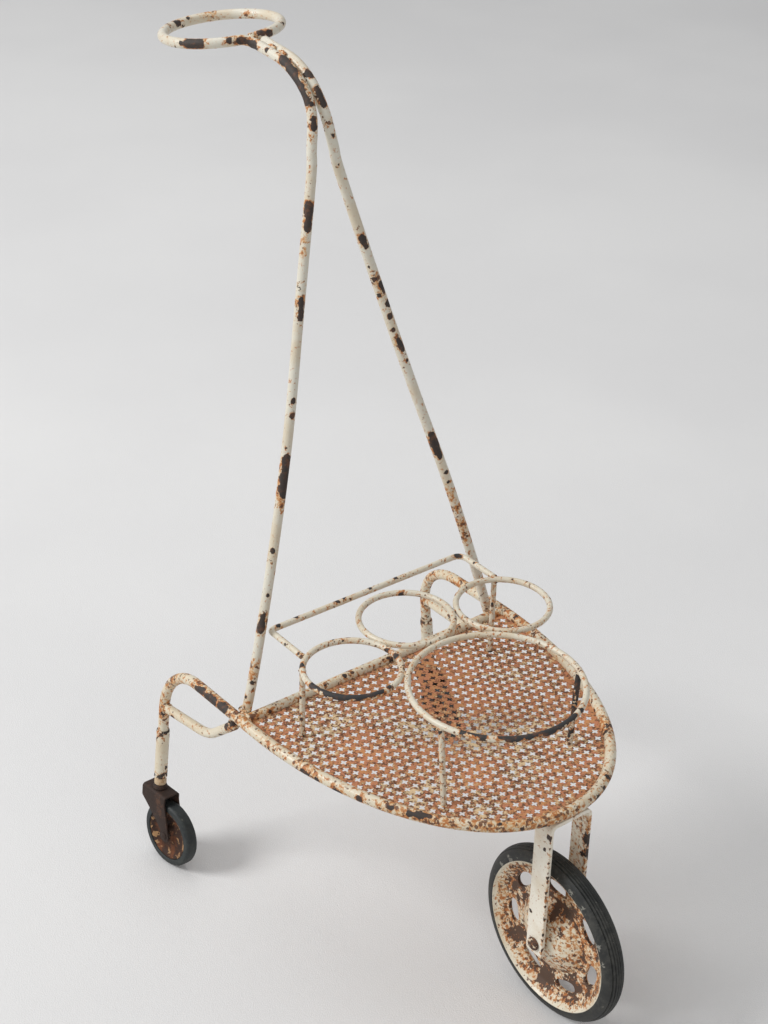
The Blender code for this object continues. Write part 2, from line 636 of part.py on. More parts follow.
def make_caster_axle(name, steel, swivel):
    """A rivet through both cheeks."""
    face = CHEEK_INNER + CHEEK_PLATE + GAP
    end = face + RIVET_HEAD
    crown = RIVET_HEAD_RADIUS * 0.6
    profile = [(0.0, -end), (crown, -end), (RIVET_HEAD_RADIUS, -face), (CASTER_AXLE, -face),
               (CASTER_AXLE, face), (RIVET_HEAD_RADIUS, face), (crown, end), (0.0, end)]
    rivet = make_turned(name, profile, AXIS_X, steel, 12, swivel)
    rivet.location = (0.0, -CASTER_TRAIL, 0.0)


def make_caster(side, sign, materials):
    """A swivel caster on a rear leg; sign is +1 on the left and -1 on the right."""
    paint, rusty, ochre, rubber = materials
    foot = Vector((sign * LEG_FOOT.x, LEG_FOOT.y, LEG_FOOT.z))
    stem = make_empty(side + "_stem", foot, (0.0, sign * LEG_SPLAY, 0.0))
    swivel = make_empty(side + "_swivel", ORIGIN, (0.0, 0.0, sign * CASTER_REST_TURN), stem)
    roll = make_empty(side + "_roll", (0.0, -CASTER_TRAIL, 0.0), parent=swivel)
    make_sleeve(side + "_sleeve", paint, stem)
    make_caster_fork(side + "_caster_fork", rusty, swivel)
    make_caster_head(side, rusty, ochre, swivel)
    make_caster_axle(side + "_caster_axle", rusty, swivel)
    make_caster_wheel(side, rusty, rubber, roll)


# ---- the trolley ----------------------------------------------------------------------
def build_trolley():
    clear_scene()
    make_layout_origin()
    cream = make_material("cream_paint", (0.80, 0.77, 0.69), 0.45)
    rusty_sheet = make_material("rusty_sheet", (0.42, 0.22, 0.14), 0.75, 0.1)
    rusty = make_material("rusty_steel", (0.09, 0.05, 0.04), 0.70, 0.4)
    steel = make_material("worn_steel", (0.30, 0.20, 0.14), 0.50, 0.7)
    ochre = make_material("ochre_collar", (0.62, 0.45, 0.26), 0.55)
    black = make_material("black_rubber", (0.045, 0.05, 0.05), 0.70)
    grey = make_material("grey_rubber", (0.09, 0.11, 0.11), 0.65)
    make_rim(cream)
    make_sheet(rusty_sheet)
    make_crossbar(cream)
    make_braces(cream)
    make_uprights(cream)
    make_handle(cream)
    make_rings(cream)
    make_rail(cream)
    make_stands(cream)
    make_fork(cream)
    make_front_axle(steel)
    hub = make_empty("front_hub", (0.0, WHEEL_Y, WHEEL_RADIUS))
    make_front_wheel(cream, steel, black, hub)
    make_caster("left", 1.0, (cream, rusty, ochre, grey))
    make_caster("right", -1.0, (cream, rusty, ochre, grey))


build_trolley()
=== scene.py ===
import math
import random

import bmesh
import bpy
import numpy as np
from mathutils import Matrix, Vector, noise


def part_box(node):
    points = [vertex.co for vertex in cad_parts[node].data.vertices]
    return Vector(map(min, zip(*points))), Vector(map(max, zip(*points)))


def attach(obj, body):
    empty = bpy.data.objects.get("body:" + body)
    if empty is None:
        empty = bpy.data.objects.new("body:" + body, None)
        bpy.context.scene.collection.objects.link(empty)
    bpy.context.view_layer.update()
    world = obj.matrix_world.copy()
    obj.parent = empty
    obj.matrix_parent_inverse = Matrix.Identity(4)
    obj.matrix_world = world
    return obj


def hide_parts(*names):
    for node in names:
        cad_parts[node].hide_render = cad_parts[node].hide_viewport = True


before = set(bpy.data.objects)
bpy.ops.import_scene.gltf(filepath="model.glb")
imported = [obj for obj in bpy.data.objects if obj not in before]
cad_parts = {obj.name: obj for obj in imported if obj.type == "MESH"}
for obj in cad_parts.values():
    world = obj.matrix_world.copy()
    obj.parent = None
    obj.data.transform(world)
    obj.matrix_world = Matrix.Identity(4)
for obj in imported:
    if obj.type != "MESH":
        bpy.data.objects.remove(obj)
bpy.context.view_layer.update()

# ---- dimensions shared with the CAD model, in metres -----------------------------------
GAP = 0.0003
RIM_TUBE = 0.0115
BAR_TUBE = 0.0110
POST_TUBE = 0.0106
BRACE_TUBE = 0.0104
BRACE_LEG_Z = 0.1865
BRACE_ELBOW = Vector((-0.1690, 0.0626, 0.1927))
ROD = 0.0065
STAND_ROD = 0.0060
RIM_Z = 0.2477
RIM_HALF_WIDTH = 0.1690
RIM_LENGTH = 0.2925
RIM_POWER = 2.08
LEG_Y = 0.1393
LEG_TOP_Z = 0.2430
LEG_BEND = 0.0600
LEG_SPLAY = 0.1000
LEG_FOOT = Vector((-0.1900, LEG_Y, 0.036938))
LEG_UP = Vector((math.sin(LEG_SPLAY), 0.0, math.cos(LEG_SPLAY)))
SHEET_THICK = 0.0005
SHEET_TOP_Z = 0.2470
RING_Z = 0.3262
SMALL_RING = 0.0475
BIG_RING = 0.0845
BIG_RING_Y = -0.1817
RAIL_Y = 0.0195
RAIL_X = 0.1215
NECK_X = (POST_TUBE + GAP) / 2
NECK_END_Y = 0.1850
NECK_DROP = 0.0071
NECK_SLOPE = 0.110
HANDLE_RADIUS = 0.0572
HANDLE_CENTRE = Vector((0.0, 0.2667, 0.8441))
HANDLE_FALL = 0.100
HANDLE_RISE = 0.060
HANDLE_BEND = 0.0140
HANDLE_TRIM = 0.0005
UPRIGHT_RISE = ((0.1400, 0.0155, 0.3050), (0.1085, 0.0294, 0.4135), (0.0755, 0.0500, 0.5240),
                (0.0458, 0.0734, 0.6345), (0.0170, 0.0953, 0.7450), (0.0125, 0.1004, 0.7715))
NECK_BEND = ((0.0026, 0.1054, 0.7975), (0.0003, 0.1137, 0.8145), (0.0, 0.1235, 0.8250),
             (0.0, 0.1377, 0.8345), (0.0, 0.1570, 0.8414))
RIGHT_NECK_END_Y = 0.2030
POSTS = (("post_rear_left", "left_ring", 144.0, -0.0005, 0.0000),
         ("post_rear_right", "right_ring", 60.0, -0.0095, -0.0100),
         ("post_front_left", "big_ring", 192.5, -0.0065, -0.0160),
         ("post_front_right", "big_ring", 340.5, -0.0110, -0.0060))
POST_WEAR = {"post_rear_left": 0.14, "post_rear_right": 0.08,
             "post_front_left": 0.07, "post_front_right": 0.44}
WHEEL = Vector((0.0, -0.2850, 0.0920))
WHEEL_RADIUS = 0.0920
TYRE_HALF = 0.0120
TREAD_GROOVES = (0.0014, 0.0042, 0.0070)
GROOVE_HALF = 0.00070
GROOVE_DEPTH = 0.0010
FLAKE_RADIUS = 0.0815
SLOT_HALF = 0.0140
SLOT_RADIUS = 0.0572
SLOT_INNER = 0.0506
SLOT_OUTER = 0.0644
SLOT_COUNT = 7
CUTTER_HALF = 0.0200
SLOT_PHASE = math.radians(-50.0)
FORK_INNER = 0.0220
FORK_PLATE = 0.0040
FORK_WIDTH = 0.0220
CASTER_RADIUS = 0.0365
CASTER_TRAIL = 0.0227
CASTER_REST_TURN = 0.12
CHEEK_INNER = 0.0086
CHEEK_PLATE = 0.0020
CHEEK_BOSS = 0.0070
FORK_CROWN = 0.0470
SLEEVE_BOTTOM = 0.0613
SLEEVE_TOP = 0.1215

# the pieces are laid out from the rear crossbar, which sits at this Y in the row frame
LAYOUT_Y = sum(corner.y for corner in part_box("rear_crossbar")) / 2
LAYOUT = Matrix.Translation((0.0, LAYOUT_Y, 0.0))

# lattice of the tray's star holes
HOLE_PITCH_X = 0.00974
HOLE_PITCH_Y = 0.00965
HOLE_SKEW = 0.00005
HOLE_ARM = 0.0036
HOLE_SHIFT = Vector((-0.0038, -0.0041))
HOLE_ROWS = range(-31, 1)
HOLE_COLUMNS = range(-20, 21)


# ---- materials -------------------------------------------------------------------------
class Graph:
    """A material and short calls for the nodes it is made of."""

    def __init__(self, name):
        self.material = bpy.data.materials.new(name)
        self.material.use_nodes = True
        self.nodes = self.material.node_tree.nodes
        self.links = self.material.node_tree.links
        self.shader = self.nodes["Principled BSDF"]
        self.place = self.nodes.new("ShaderNodeTexCoord").outputs["Object"]

    def plug(self, socket, value):
        if isinstance(value, bpy.types.NodeSocket):
            self.links.new(value, socket)
        elif isinstance(value, tuple) and len(value) == 3 and len(socket.default_value) == 4:
            socket.default_value = (*value, 1.0)
        else:
            socket.default_value = value

    def noise(self, scale, detail=3.0, rough=0.55, distortion=0.0, place=None):
        node = self.nodes.new("ShaderNodeTexNoise")
        self.plug(node.inputs["Vector"], place or self.place)
        node.inputs["Scale"].default_value = scale
        node.inputs["Detail"].default_value = detail
        node.inputs["Roughness"].default_value = rough
        node.inputs["Distortion"].default_value = distortion
        return node.outputs["Fac"]

    def moved(self, offset):
        node = self.nodes.new("ShaderNodeMapping")
        self.plug(node.inputs["Vector"], self.place)
        node.inputs["Location"].default_value = offset
        return node.outputs["Vector"]

    def cells(self, scale, place=None):
        """Distance to the nearest cell point, and a random value for each cell."""
        node = self.nodes.new("ShaderNodeTexVoronoi")
        self.plug(node.inputs["Vector"], place or self.place)
        node.inputs["Scale"].default_value = scale
        split = self.nodes.new("ShaderNodeSeparateColor")
        self.links.new(node.outputs["Color"], split.inputs["Color"])
        return node.outputs["Distance"], split.outputs["Red"]

    def math(self, operation, a, b):
        node = self.nodes.new("ShaderNodeMath")
        node.operation = operation
        self.plug(node.inputs[0], a)
        self.plug(node.inputs[1], b)
        return node.outputs[0]

    def add(self, a, b):
        return self.math("ADD", a, b)

    def less(self, a, b):
        return self.math("SUBTRACT", a, b)

    def times(self, a, b):
        return self.math("MULTIPLY", a, b)

    def most(self, a, b):
        return self.math("MAXIMUM", a, b)

    def ease(self, value, low, high):
        """0 below low, 1 above high, smooth between."""
        node = self.nodes.new("ShaderNodeMapRange")
        node.interpolation_type = "SMOOTHSTEP"
        self.plug(node.inputs["Value"], value)
        node.inputs["From Min"].default_value = low
        node.inputs["From Max"].default_value = high
        return node.outputs["Result"]

    def blend(self, share, a, b):
        """A colour between a and b."""
        node = self.nodes.new("ShaderNodeMix")
        node.data_type = "RGBA"
        self.plug(node.inputs["Factor"], share)
        self.plug(node.inputs["A"], a)
        self.plug(node.inputs["B"], b)
        return node.outputs["Result"]

    def attribute(self, name):
        node = self.nodes.new("ShaderNodeAttribute")
        node.attribute_name = name
        return node.outputs["Fac"]

    def finish(self, colour, roughness, height, depth, metallic=0.0, specular=0.5):
        """Join colour, roughness and a height in units of depth to the shader."""
        self.plug(self.shader.inputs["Base Color"], colour)
        self.plug(self.shader.inputs["Roughness"], roughness)
        self.shader.inputs["Metallic"].default_value = metallic
        self.shader.inputs["Specular IOR Level"].default_value = specular
        bump = self.nodes.new("ShaderNodeBump")
        bump.inputs["Strength"].default_value = 1.0
        bump.inputs["Distance"].default_value = depth
        self.plug(bump.inputs["Height"], height)
        self.plug(self.shader.inputs["Normal"], bump.outputs["Normal"])
        return self.material


CREAM = (0.665, 0.608, 0.480)
CREAM_WARM = (0.550, 0.420, 0.250)
OCHRE = (0.570, 0.290, 0.082)
ORANGE = (0.395, 0.135, 0.033)
RUST = (0.125, 0.050, 0.022)
BARE = (0.034, 0.024, 0.019)
BARE_ROD = (0.024, 0.024, 0.024)


def chipped_paint(name, chips, bare=BARE, halo=0.060, cream=CREAM, grain_scale=1.0):
    """Cream paint over bare steel: dark chips with rusty rims, rust stains and fine specks.

    chips is the noise level above which the paint is gone. The wear attribute adds to that
    noise, and the stain attribute brings orange tint and more specks.
    """
    g = Graph(name)
    wear = g.attribute("wear")
    stain = g.attribute("stain")
    place = g.moved((0.31, 0.17, 0.05))
    patches = g.noise(38.0 * grain_scale, 2.0, 0.5, place=place)
    flakes = g.noise(190.0 * grain_scale, 5.0, 0.62, 0.35, place=place)
    field = g.add(g.times(flakes, 0.62), g.times(patches, 0.38))
    field = g.add(field, g.times(wear, 0.36))
    gone = g.ease(field, chips, chips + 0.010)
    rim = g.ease(field, chips - halo, chips + 0.006)
    blotch = g.noise(230.0 * grain_scale, 5.0, 0.66, 0.4, place=g.moved((5.0, 2.0, 1.0)))
    seep = g.ease(g.add(g.times(stain, 0.24), blotch), 0.62, 0.78)
    orange = g.most(g.times(rim, g.ease(blotch, 0.36, 0.56)), seep)
    yellow = g.ease(g.noise(26.0, 4.0, 0.6, place=g.moved((2.0, 1.0, 3.0))), 0.42, 0.66)
    grime = g.ease(g.noise(430.0, 3.0, 0.6), 0.50, 0.80)
    soil = g.add(g.times(yellow, 0.40), g.times(grime, 0.24))
    soil = g.add(soil, g.times(stain, 0.20))
    paint = g.blend(soil, cream, CREAM_WARM)
    paint = g.blend(g.times(orange, 0.85), paint, OCHRE)
    strong = g.add(g.times(rim, 0.10), g.times(stain, 0.13))
    paint = g.blend(g.ease(g.add(strong, blotch), 0.61, 0.72), paint, ORANGE)
    share = g.add(g.times(stain, 0.30), 0.04)
    dots, pick = g.cells(300.0, g.moved((0.07, 0.02, 0.11)))
    size = g.times(g.ease(g.add(pick, share), 0.92, 1.35), 0.75)
    dot = g.ease(g.less(size, dots), 0.0, 0.12)
    paint = g.blend(g.times(dot, 0.90), paint, RUST)
    deep = g.ease(g.add(g.times(stain, 0.14), flakes), 0.69, 0.74)
    paint = g.blend(deep, paint, RUST)
    dry = g.ease(g.add(g.noise(150.0, 4.0, 0.6, place=g.moved((1.0, 4.0, 2.0))),
                       g.times(g.noise(700.0, 3.0, 0.7), 0.25)), 0.62, 0.84)
    metal = g.blend(g.times(dry, 0.8), bare, RUST)
    colour = g.blend(gone, paint, metal)
    rough = g.most(g.times(orange, 0.7), gone)
    roughness = g.add(g.times(rough, 0.30), 0.36)
    film = g.less(1.0, g.most(gone, g.times(dot, 0.6)))
    swell = g.times(rim, 0.35)
    grain = g.times(g.noise(900.0, 4.0, 0.65), g.add(g.times(gone, 0.9), 0.10))
    brushed = g.times(g.noise(210.0, 2.0, 0.5), 0.8)
    height = g.add(g.add(film, swell), g.add(grain, brushed))
    return g.finish(colour, roughness, height, 0.00018)


def rusted_sheet(name):
    """Steel sheet that has lost most of its paint: salmon rust, brown patches, cream remains."""
    g = Graph(name)
    broad = g.noise(19.0, 3.0, 0.6, place=g.moved((0.15, 0.55, 0.2)))
    middle = g.noise(150.0, 5.0, 0.62, 0.4, place=g.moved((0.4, 0.2, 0.9)))
    small = g.noise(330.0, 4.0, 0.65, 0.3, place=g.moved((0.9, 0.1, 0.3)))
    fine = g.noise(900.0, 4.0, 0.7)
    brown = (0.130, 0.060, 0.034)
    salmon = (0.470, 0.195, 0.102)
    orange = (0.520, 0.240, 0.096)
    cream = (0.720, 0.540, 0.320)
    tone = g.blend(g.ease(middle, 0.42, 0.60), salmon, orange)
    dark = g.add(g.times(small, 0.72), g.times(broad, 0.28))
    tone = g.blend(g.ease(dark, 0.46, 0.57), tone, brown)
    field = g.add(g.times(middle, 0.36), g.times(broad, 0.32))
    field = g.add(field, g.times(g.noise(420.0, 4.0, 0.65), 0.32))
    left = g.ease(field, 0.518, 0.570)
    colour = g.blend(g.times(left, 0.85), tone, cream)
    roughness = g.less(0.86, g.times(left, 0.22))
    height = g.add(left, g.add(fine, small))
    return g.finish(colour, roughness, height, 0.00030, specular=0.3)


def bare_steel(name, dark, rust, amount, remains=None):
    """Unpainted steel with dry rust; remains is a colour that survives in patches."""
    g = Graph(name)
    wear = g.attribute("wear")
    broad = g.noise(70.0, 4.0, 0.6)
    fine = g.noise(520.0, 5.0, 0.7)
    field = g.add(g.times(broad, 0.7), g.times(fine, 0.3))
    field = g.add(field, g.times(wear, 0.2))
    colour = g.blend(g.ease(field, amount, amount + 0.16), dark, rust)
    worn = g.ease(field, amount + 0.06, amount + 0.10)
    height = g.add(fine, g.times(worn, 0.6))
    if remains:
        patch = g.noise(180.0, 4.0, 0.6, 0.4, place=g.moved((0.6, 0.3, 0.2)))
        patch = g.add(patch, g.times(wear, 0.30))
        kept = g.ease(patch, 0.60, 0.65)
        colour = g.blend(g.times(kept, 0.85), colour, remains)
        height = g.add(height, g.times(kept, 0.8))
    roughness = g.add(g.times(fine, 0.30), 0.55)
    return g.finish(colour, roughness, height, 0.00018, metallic=0.15, specular=0.4)


def old_rubber(name, base, dust, scuff):
    """Aged rubber with a dusty bloom, scuffs and fine pores."""
    g = Graph(name)
    wear = g.attribute("wear")
    broad = g.noise(45.0, 4.0, 0.6)
    streak = g.noise(260.0, 4.0, 0.65, 0.5)
    fine = g.noise(1300.0, 3.0, 0.6)
    bloom = g.add(g.times(broad, 0.6), g.times(streak, 0.4))
    bloom = g.ease(bloom, 0.42, 0.66)
    colour = g.blend(g.times(bloom, 0.60), base, dust)
    mark = g.ease(g.add(streak, g.times(wear, 0.28)), 0.66, 0.74)
    colour = g.blend(g.times(mark, 0.7), colour, scuff)
    roughness = g.add(g.times(bloom, 0.20), 0.50)
    height = g.add(g.times(streak, 0.8), fine)
    return g.finish(colour, roughness, height, 0.00010, specular=0.40)


def floor_cloth(name):
    """Pale studio cloth, matt, with the faintest mottling."""
    g = Graph(name)
    tone = g.noise(1.3, 3.0, 0.5)
    colour = g.blend(g.ease(tone, 0.35, 0.65), (0.690, 0.685, 0.680), (0.725, 0.720, 0.712))
    weave = g.add(g.noise(900.0, 2.0, 0.5), g.times(g.noise(14.0, 3.0, 0.5), 1.5))
    return g.finish(colour, 0.92, weave, 0.0004, specular=0.15)


# ---- paths -----------------------------------------------------------------------------
def corner_arc(before, corner, after, radius, step=math.radians(4.0)):
    """Points of the arc that rounds one corner of a path."""
    back = (before - corner).normalized()
    ahead = (after - corner).normalized()
    opening = back.angle(ahead)
    start = corner + back * (radius / math.tan(opening / 2))
    centre = corner + (back + ahead).normalized() * (radius / math.sin(opening / 2))
    sweep = math.pi - opening
    axis = ahead.cross(back).normalized()
    count = max(4, math.ceil(sweep / step))
    arm = start - centre
    return [centre + Matrix.Rotation(sweep * i / count, 3, axis) @ arm for i in range(count + 1)]


def bent_path(corners):
    """Straight runs joined by bends; each corner is (point, bend radius), the ends have none."""
    spots = [Vector(point) for point, _ in corners]
    path = [spots[0]]
    for i in range(1, len(spots) - 1):
        path += corner_arc(spots[i - 1], spots[i], spots[i + 1], corners[i][1])
    path.append(spots[-1])
    return path


def smooth_path(points, pieces):
    """A Catmull-Rom curve through the points."""
    spots = [Vector(point) for point in points]
    spots = [2 * spots[0] - spots[1]] + spots + [2 * spots[-1] - spots[-2]]
    path = []
    for a, b, c, d in zip(spots, spots[1:], spots[2:], spots[3:]):
        for i in range(pieces):
            t = i / pieces
            bend = (2 * a - 5 * b + 4 * c - d) * t * t + (3 * b - a - 3 * c + d) * t ** 3
            path.append(b + 0.5 * ((c - a) * t + bend))
    path.append(spots[-2])
    return path


def mirrored(points):
    return [Vector((-point[0], point[1], point[2])) for point in points]


def even_path(path, step, closed):
    """The same path with its points a step apart."""
    spots = list(path) + ([path[0]] if closed else [])
    reach = [0.0]
    for a, b in zip(spots, spots[1:]):
        reach.append(reach[-1] + (b - a).length)
    count = max(2, round(reach[-1] / step))
    result = []
    piece = 0
    for i in range(count if closed else count + 1):
        goal = reach[-1] * i / count
        while piece < len(spots) - 2 and reach[piece + 1] < goal:
            piece += 1
        share = (goal - reach[piece]) / max(reach[piece + 1] - reach[piece], 1e-9)
        result.append(spots[piece].lerp(spots[piece + 1], min(share, 1.0)))
    return result


def ring_path(centre, radius, count=96):
    turn = math.tau / count
    return [centre + Vector((math.cos(i * turn), math.sin(i * turn), 0.0)) * radius
            for i in range(count)]


# ---- meshes ----------------------------------------------------------------------------
SHARP_ANGLE = math.radians(38.0)
TUBE_DENT = 0.00012
TUBE_RIPPLE = 0.00010
TUBE_END_TRIM = 0.0007
NEAR_AXIS = 0.00005


def spread(corners, spots):
    """At each corner, the sum over spots (x, y, z, reach, amount) of a bump that fades at reach."""
    total = np.zeros(len(corners))
    places = np.array(corners)
    for x, y, z, reach, amount in spots:
        share = np.sum((places - (x, y, z)) ** 2, axis=1) / reach ** 2
        total += amount * np.clip(1.0 - share, 0.0, 1.0) ** 2
    return total


def new_piece(name, corners, faces, material, worn=(), rusty=(), wear=0.0, stain=0.0):
    """A mesh object in the row frame, from corners in the layout's frame.

    worn and rusty are spots that add to the wear and stain attributes of the paint.
    """
    mesh = bpy.data.meshes.new(name)
    mesh.from_pydata(corners, [], faces)
    mesh.polygons.foreach_set("use_smooth", [True] * len(mesh.polygons))
    for label, base, spots in (("wear", wear, worn), ("stain", stain, rusty)):
        values = mesh.attributes.new(label, "FLOAT", "POINT")
        values.data.foreach_set("value", np.minimum(base + spread(corners, spots), 1.0))
    mesh.transform(LAYOUT)
    mesh.materials.append(material)
    piece = bpy.data.objects.new(name, mesh)
    bpy.context.scene.collection.objects.link(piece)
    return piece


def soft_edges(piece):
    """Smooth shading, with sharp edges where faces meet at more than SHARP_ANGLE."""
    bm = bmesh.new()
    bm.from_mesh(piece.data)
    bmesh.ops.recalc_face_normals(bm, faces=bm.faces)
    for face in bm.faces:
        face.smooth = True
    for edge in bm.edges:
        edge.smooth = len(edge.link_faces) == 2 and edge.calc_face_angle(0.0) < SHARP_ANGLE
    bm.to_mesh(piece.data)
    bm.free()
    return piece


def frames_along(path, closed, first):
    """A pair of unit vectors across the path at each point, carried along without twist."""
    count = len(path)
    side = first
    result = []
    for i in range(count):
        before = path[i - 1] if (closed or i > 0) else path[i]
        after = path[(i + 1) % count] if (closed or i < count - 1) else path[i]
        along = (after - before).normalized()
        side = (side - along * side.dot(along)).normalized()
        result.append((side, along.cross(side)))
    return result


def swept(path, sections, closed, first=Vector((0.013, 0.021, 1.0))):
    """Corners and faces of a solid with a section (list of across pairs) at each path point."""
    frames = frames_along(path, closed, first)
    sides = len(sections[0])
    corners = []
    for spot, (u, v), section in zip(path, frames, sections):
        corners += [spot + u * a + v * b for a, b in section]
    faces = []
    rows = len(path) if closed else len(path) - 1
    for i in range(rows):
        low = i * sides
        high = (i + 1) % len(path) * sides
        for j in range(sides):
            k = (j + 1) % sides
            faces.append((low + j, low + k, high + k, high + j))
    if not closed:
        faces.append(tuple(range(sides))[::-1])
        faces.append(tuple(range(len(corners) - sides, len(corners))))
    return corners, faces


def lumpy(point, coarse, fine):
    """0 to 1: how far a hand-painted surface sinks at a point."""
    a = noise.noise(point * coarse) * 0.5 + 0.5
    b = noise.noise(point * fine + Vector((3.1, 1.7, 0.4))) * 0.5 + 0.5
    return 0.6 * a + 0.4 * b


def tube(name, nodes, path, diameter, material, worn=(), rusty=(), wear=0.0, stain=0.0, closed=False,
         sides=24, step=0.0016):
    """A painted tube that stands for CAD nodes, with dents and paint runs in its surface."""
    line = even_path(path, step, closed)
    sections = []
    for i, spot in enumerate(line):
        radius = diameter / 2 - TUBE_DENT * lumpy(spot, 55.0, 260.0)
        if not closed and i in (0, len(line) - 1):
            radius -= TUBE_END_TRIM
        section = []
        for j in range(sides):
            turn = math.tau * j / sides
            ripple = TUBE_RIPPLE * lumpy(spot + Vector((turn * 0.02, 0.0, 0.0)), 180.0, 420.0)
            section.append(((radius - ripple) * math.cos(turn), (radius - ripple) * math.sin(turn)))
        sections.append(section)
    corners, faces = swept(line, sections, closed)
    piece = new_piece(name, corners, faces, material, worn, rusty, wear, stain)
    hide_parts(*nodes)
    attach(piece, "trolley_frame")
    return piece


def turned(profile, steps, axis_turn, bump=0.0):
    """Corners and faces of a solid of revolution about X, from (radius, place) pairs."""
    corners = []
    for i in range(steps):
        angle = math.tau * i / steps
        for radius, along in profile:
            point = Vector((along, radius * math.cos(angle), radius * math.sin(angle)))
            sink = bump * lumpy(point, 90.0, 300.0) if bump else 0.0
            point.y *= 1.0 - sink / max(radius, 1e-4)
            point.z *= 1.0 - sink / max(radius, 1e-4)
            corners.append(axis_turn @ point)
    size = len(profile)
    faces = []
    for i in range(steps):
        low = i * size
        high = (i + 1) % steps * size
        for j in range(size):
            k = (j + 1) % size
            faces.append((low + j, low + k, high + k, high + j))
    return corners, faces


def closed_bar(profile, steps, axis_turn, bump=0.0):
    """As turned, for a profile that starts and ends near the axis: the ends get caps."""
    corners, faces = turned(profile, steps, axis_turn, bump)
    size = len(profile)
    faces = [face for i, face in enumerate(faces) if i % size != size - 1]
    faces.append(tuple(i * size for i in range(steps)))
    faces.append(tuple(i * size + size - 1 for i in range(steps))[::-1])
    return corners, faces


def rounded(profile, radius, pieces=3):
    """Round the corners of a closed profile of pairs by a radius, less on short sides."""
    result = []
    count = len(profile)
    for i in range(count):
        before = Vector(profile[i - 1])
        corner = Vector(profile[i])
        after = Vector(profile[(i + 1) % count])
        back = before - corner
        ahead = after - corner
        cut = min(radius, back.length * 0.4, ahead.length * 0.4)
        start = corner + back.normalized() * cut
        end = corner + ahead.normalized() * cut
        for k in range(pieces + 1):
            t = k / pieces
            spot = start * (1 - t) ** 2 + corner * 2 * t * (1 - t) + end * t * t
            result.append((spot.x, spot.y))
    return result


def stand_for(piece, nodes, body):
    soft_edges(piece)
    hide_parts(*nodes)
    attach(piece, body)
    return piece


# ---- the frame's centre lines ----------------------------------------------------------
def rim_nose(count=160):
    points = []
    for i in range(count + 1):
        turn = math.pi * i / count
        across = math.copysign(abs(math.cos(turn)) ** (2 / RIM_POWER), -math.cos(turn))
        along = abs(math.sin(turn)) ** (2 / RIM_POWER)
        points.append(Vector((RIM_HALF_WIDTH * across, -RIM_LENGTH * along, RIM_Z)))
    return points


def leg_point(height):
    return LEG_FOOT + LEG_UP * height


def leg_at(z):
    return leg_point((z - LEG_FOOT.z) / LEG_UP.z)


def rim_path():
    front = Vector((-RIM_HALF_WIDTH, 0.0, RIM_Z))
    leg = bent_path([(leg_point(SLEEVE_TOP - 0.030), 0), (leg_at(LEG_TOP_Z), LEG_BEND), (front, 0)])
    return leg[:-1] + rim_nose() + mirrored(leg[:-1])[::-1]


def brace_path():
    start = leg_at(BRACE_LEG_Z) - Vector((0.0, RIM_TUBE / 2 - 0.001, 0.0))
    front = Vector((-RIM_HALF_WIDTH, 0.0120, RIM_Z - RIM_TUBE / 2 - BRACE_TUBE / 2 - GAP))
    return bent_path([(start, 0), (BRACE_ELBOW, 0.050), (front, 0)])


def handle_height(x, y):
    return (HANDLE_CENTRE.z - HANDLE_FALL * (y - HANDLE_CENTRE.y)
            + HANDLE_RISE * (x - HANDLE_CENTRE.x))


def upright_path(end_y):
    foot_x = -(RIM_HALF_WIDTH - RIM_TUBE / 2 - POST_TUBE / 2 - GAP)
    foot_y = BAR_TUBE / 2 + POST_TUBE / 2 + GAP
    neck_z = handle_height(-NECK_X, NECK_END_Y) - NECK_DROP
    rise = [(foot_x, foot_y, 0.2430)] + mirrored(UPRIGHT_RISE)
    neck = [(-NECK_X - apart, y, z) for apart, y, z in NECK_BEND] + [(-NECK_X, NECK_END_Y, neck_z)]
    path = smooth_path(rise + neck, 14)
    if end_y > NECK_END_Y:
        path.append(Vector((-NECK_X, end_y, neck_z + NECK_SLOPE * (end_y - NECK_END_Y))))
    return path


def handle_path():
    hub = Vector((-NECK_X - HANDLE_BEND, 0.0))
    reach = HANDLE_RADIUS + HANDLE_BEND
    hub.y = HANDLE_CENTRE.y - math.sqrt(reach ** 2 - hub.x ** 2)
    touch = math.atan2(hub.y - HANDLE_CENTRE.y, hub.x)
    plan = []
    turn_steps = 12
    for i in range(turn_steps):
        angle = (math.pi + touch) * i / turn_steps
        plan.append(hub + Vector((math.cos(angle), math.sin(angle))) * HANDLE_BEND)
    ring_steps = 110
    sweep = math.tau + touch + math.pi / 2
    for i in range(ring_steps + 1):
        angle = touch - sweep * i / ring_steps
        plan.append(HANDLE_CENTRE.xy + Vector((math.cos(angle), math.sin(angle))) * HANDLE_RADIUS)
    path = [Vector((spot.x, spot.y, handle_height(spot.x, spot.y))) for spot in plan]
    start_z = handle_height(-NECK_X, NECK_END_Y) - NECK_DROP
    drop = path[0].z - start_z - NECK_SLOPE * (path[0].y - NECK_END_Y)
    for i in range(turn_steps):
        path[i].z -= drop * (1.0 + math.cos(math.pi * i / turn_steps)) / 2
    return path


def ring_layout():
    near = BIG_RING + SMALL_RING + ROD + GAP
    side = 2 * SMALL_RING + ROD + GAP
    spread = 2 * math.asin(side / (2 * near))
    big = Vector((0.0, BIG_RING_Y, RING_Z))
    middle = big + Vector((0.0, near, 0.0))
    right = big + Vector((math.sin(spread), math.cos(spread), 0.0)) * near
    return {"big_ring": (big, BIG_RING), "middle_ring": (middle, SMALL_RING),
            "right_ring": (right, SMALL_RING), "left_ring": (mirrored([right])[0], SMALL_RING)}


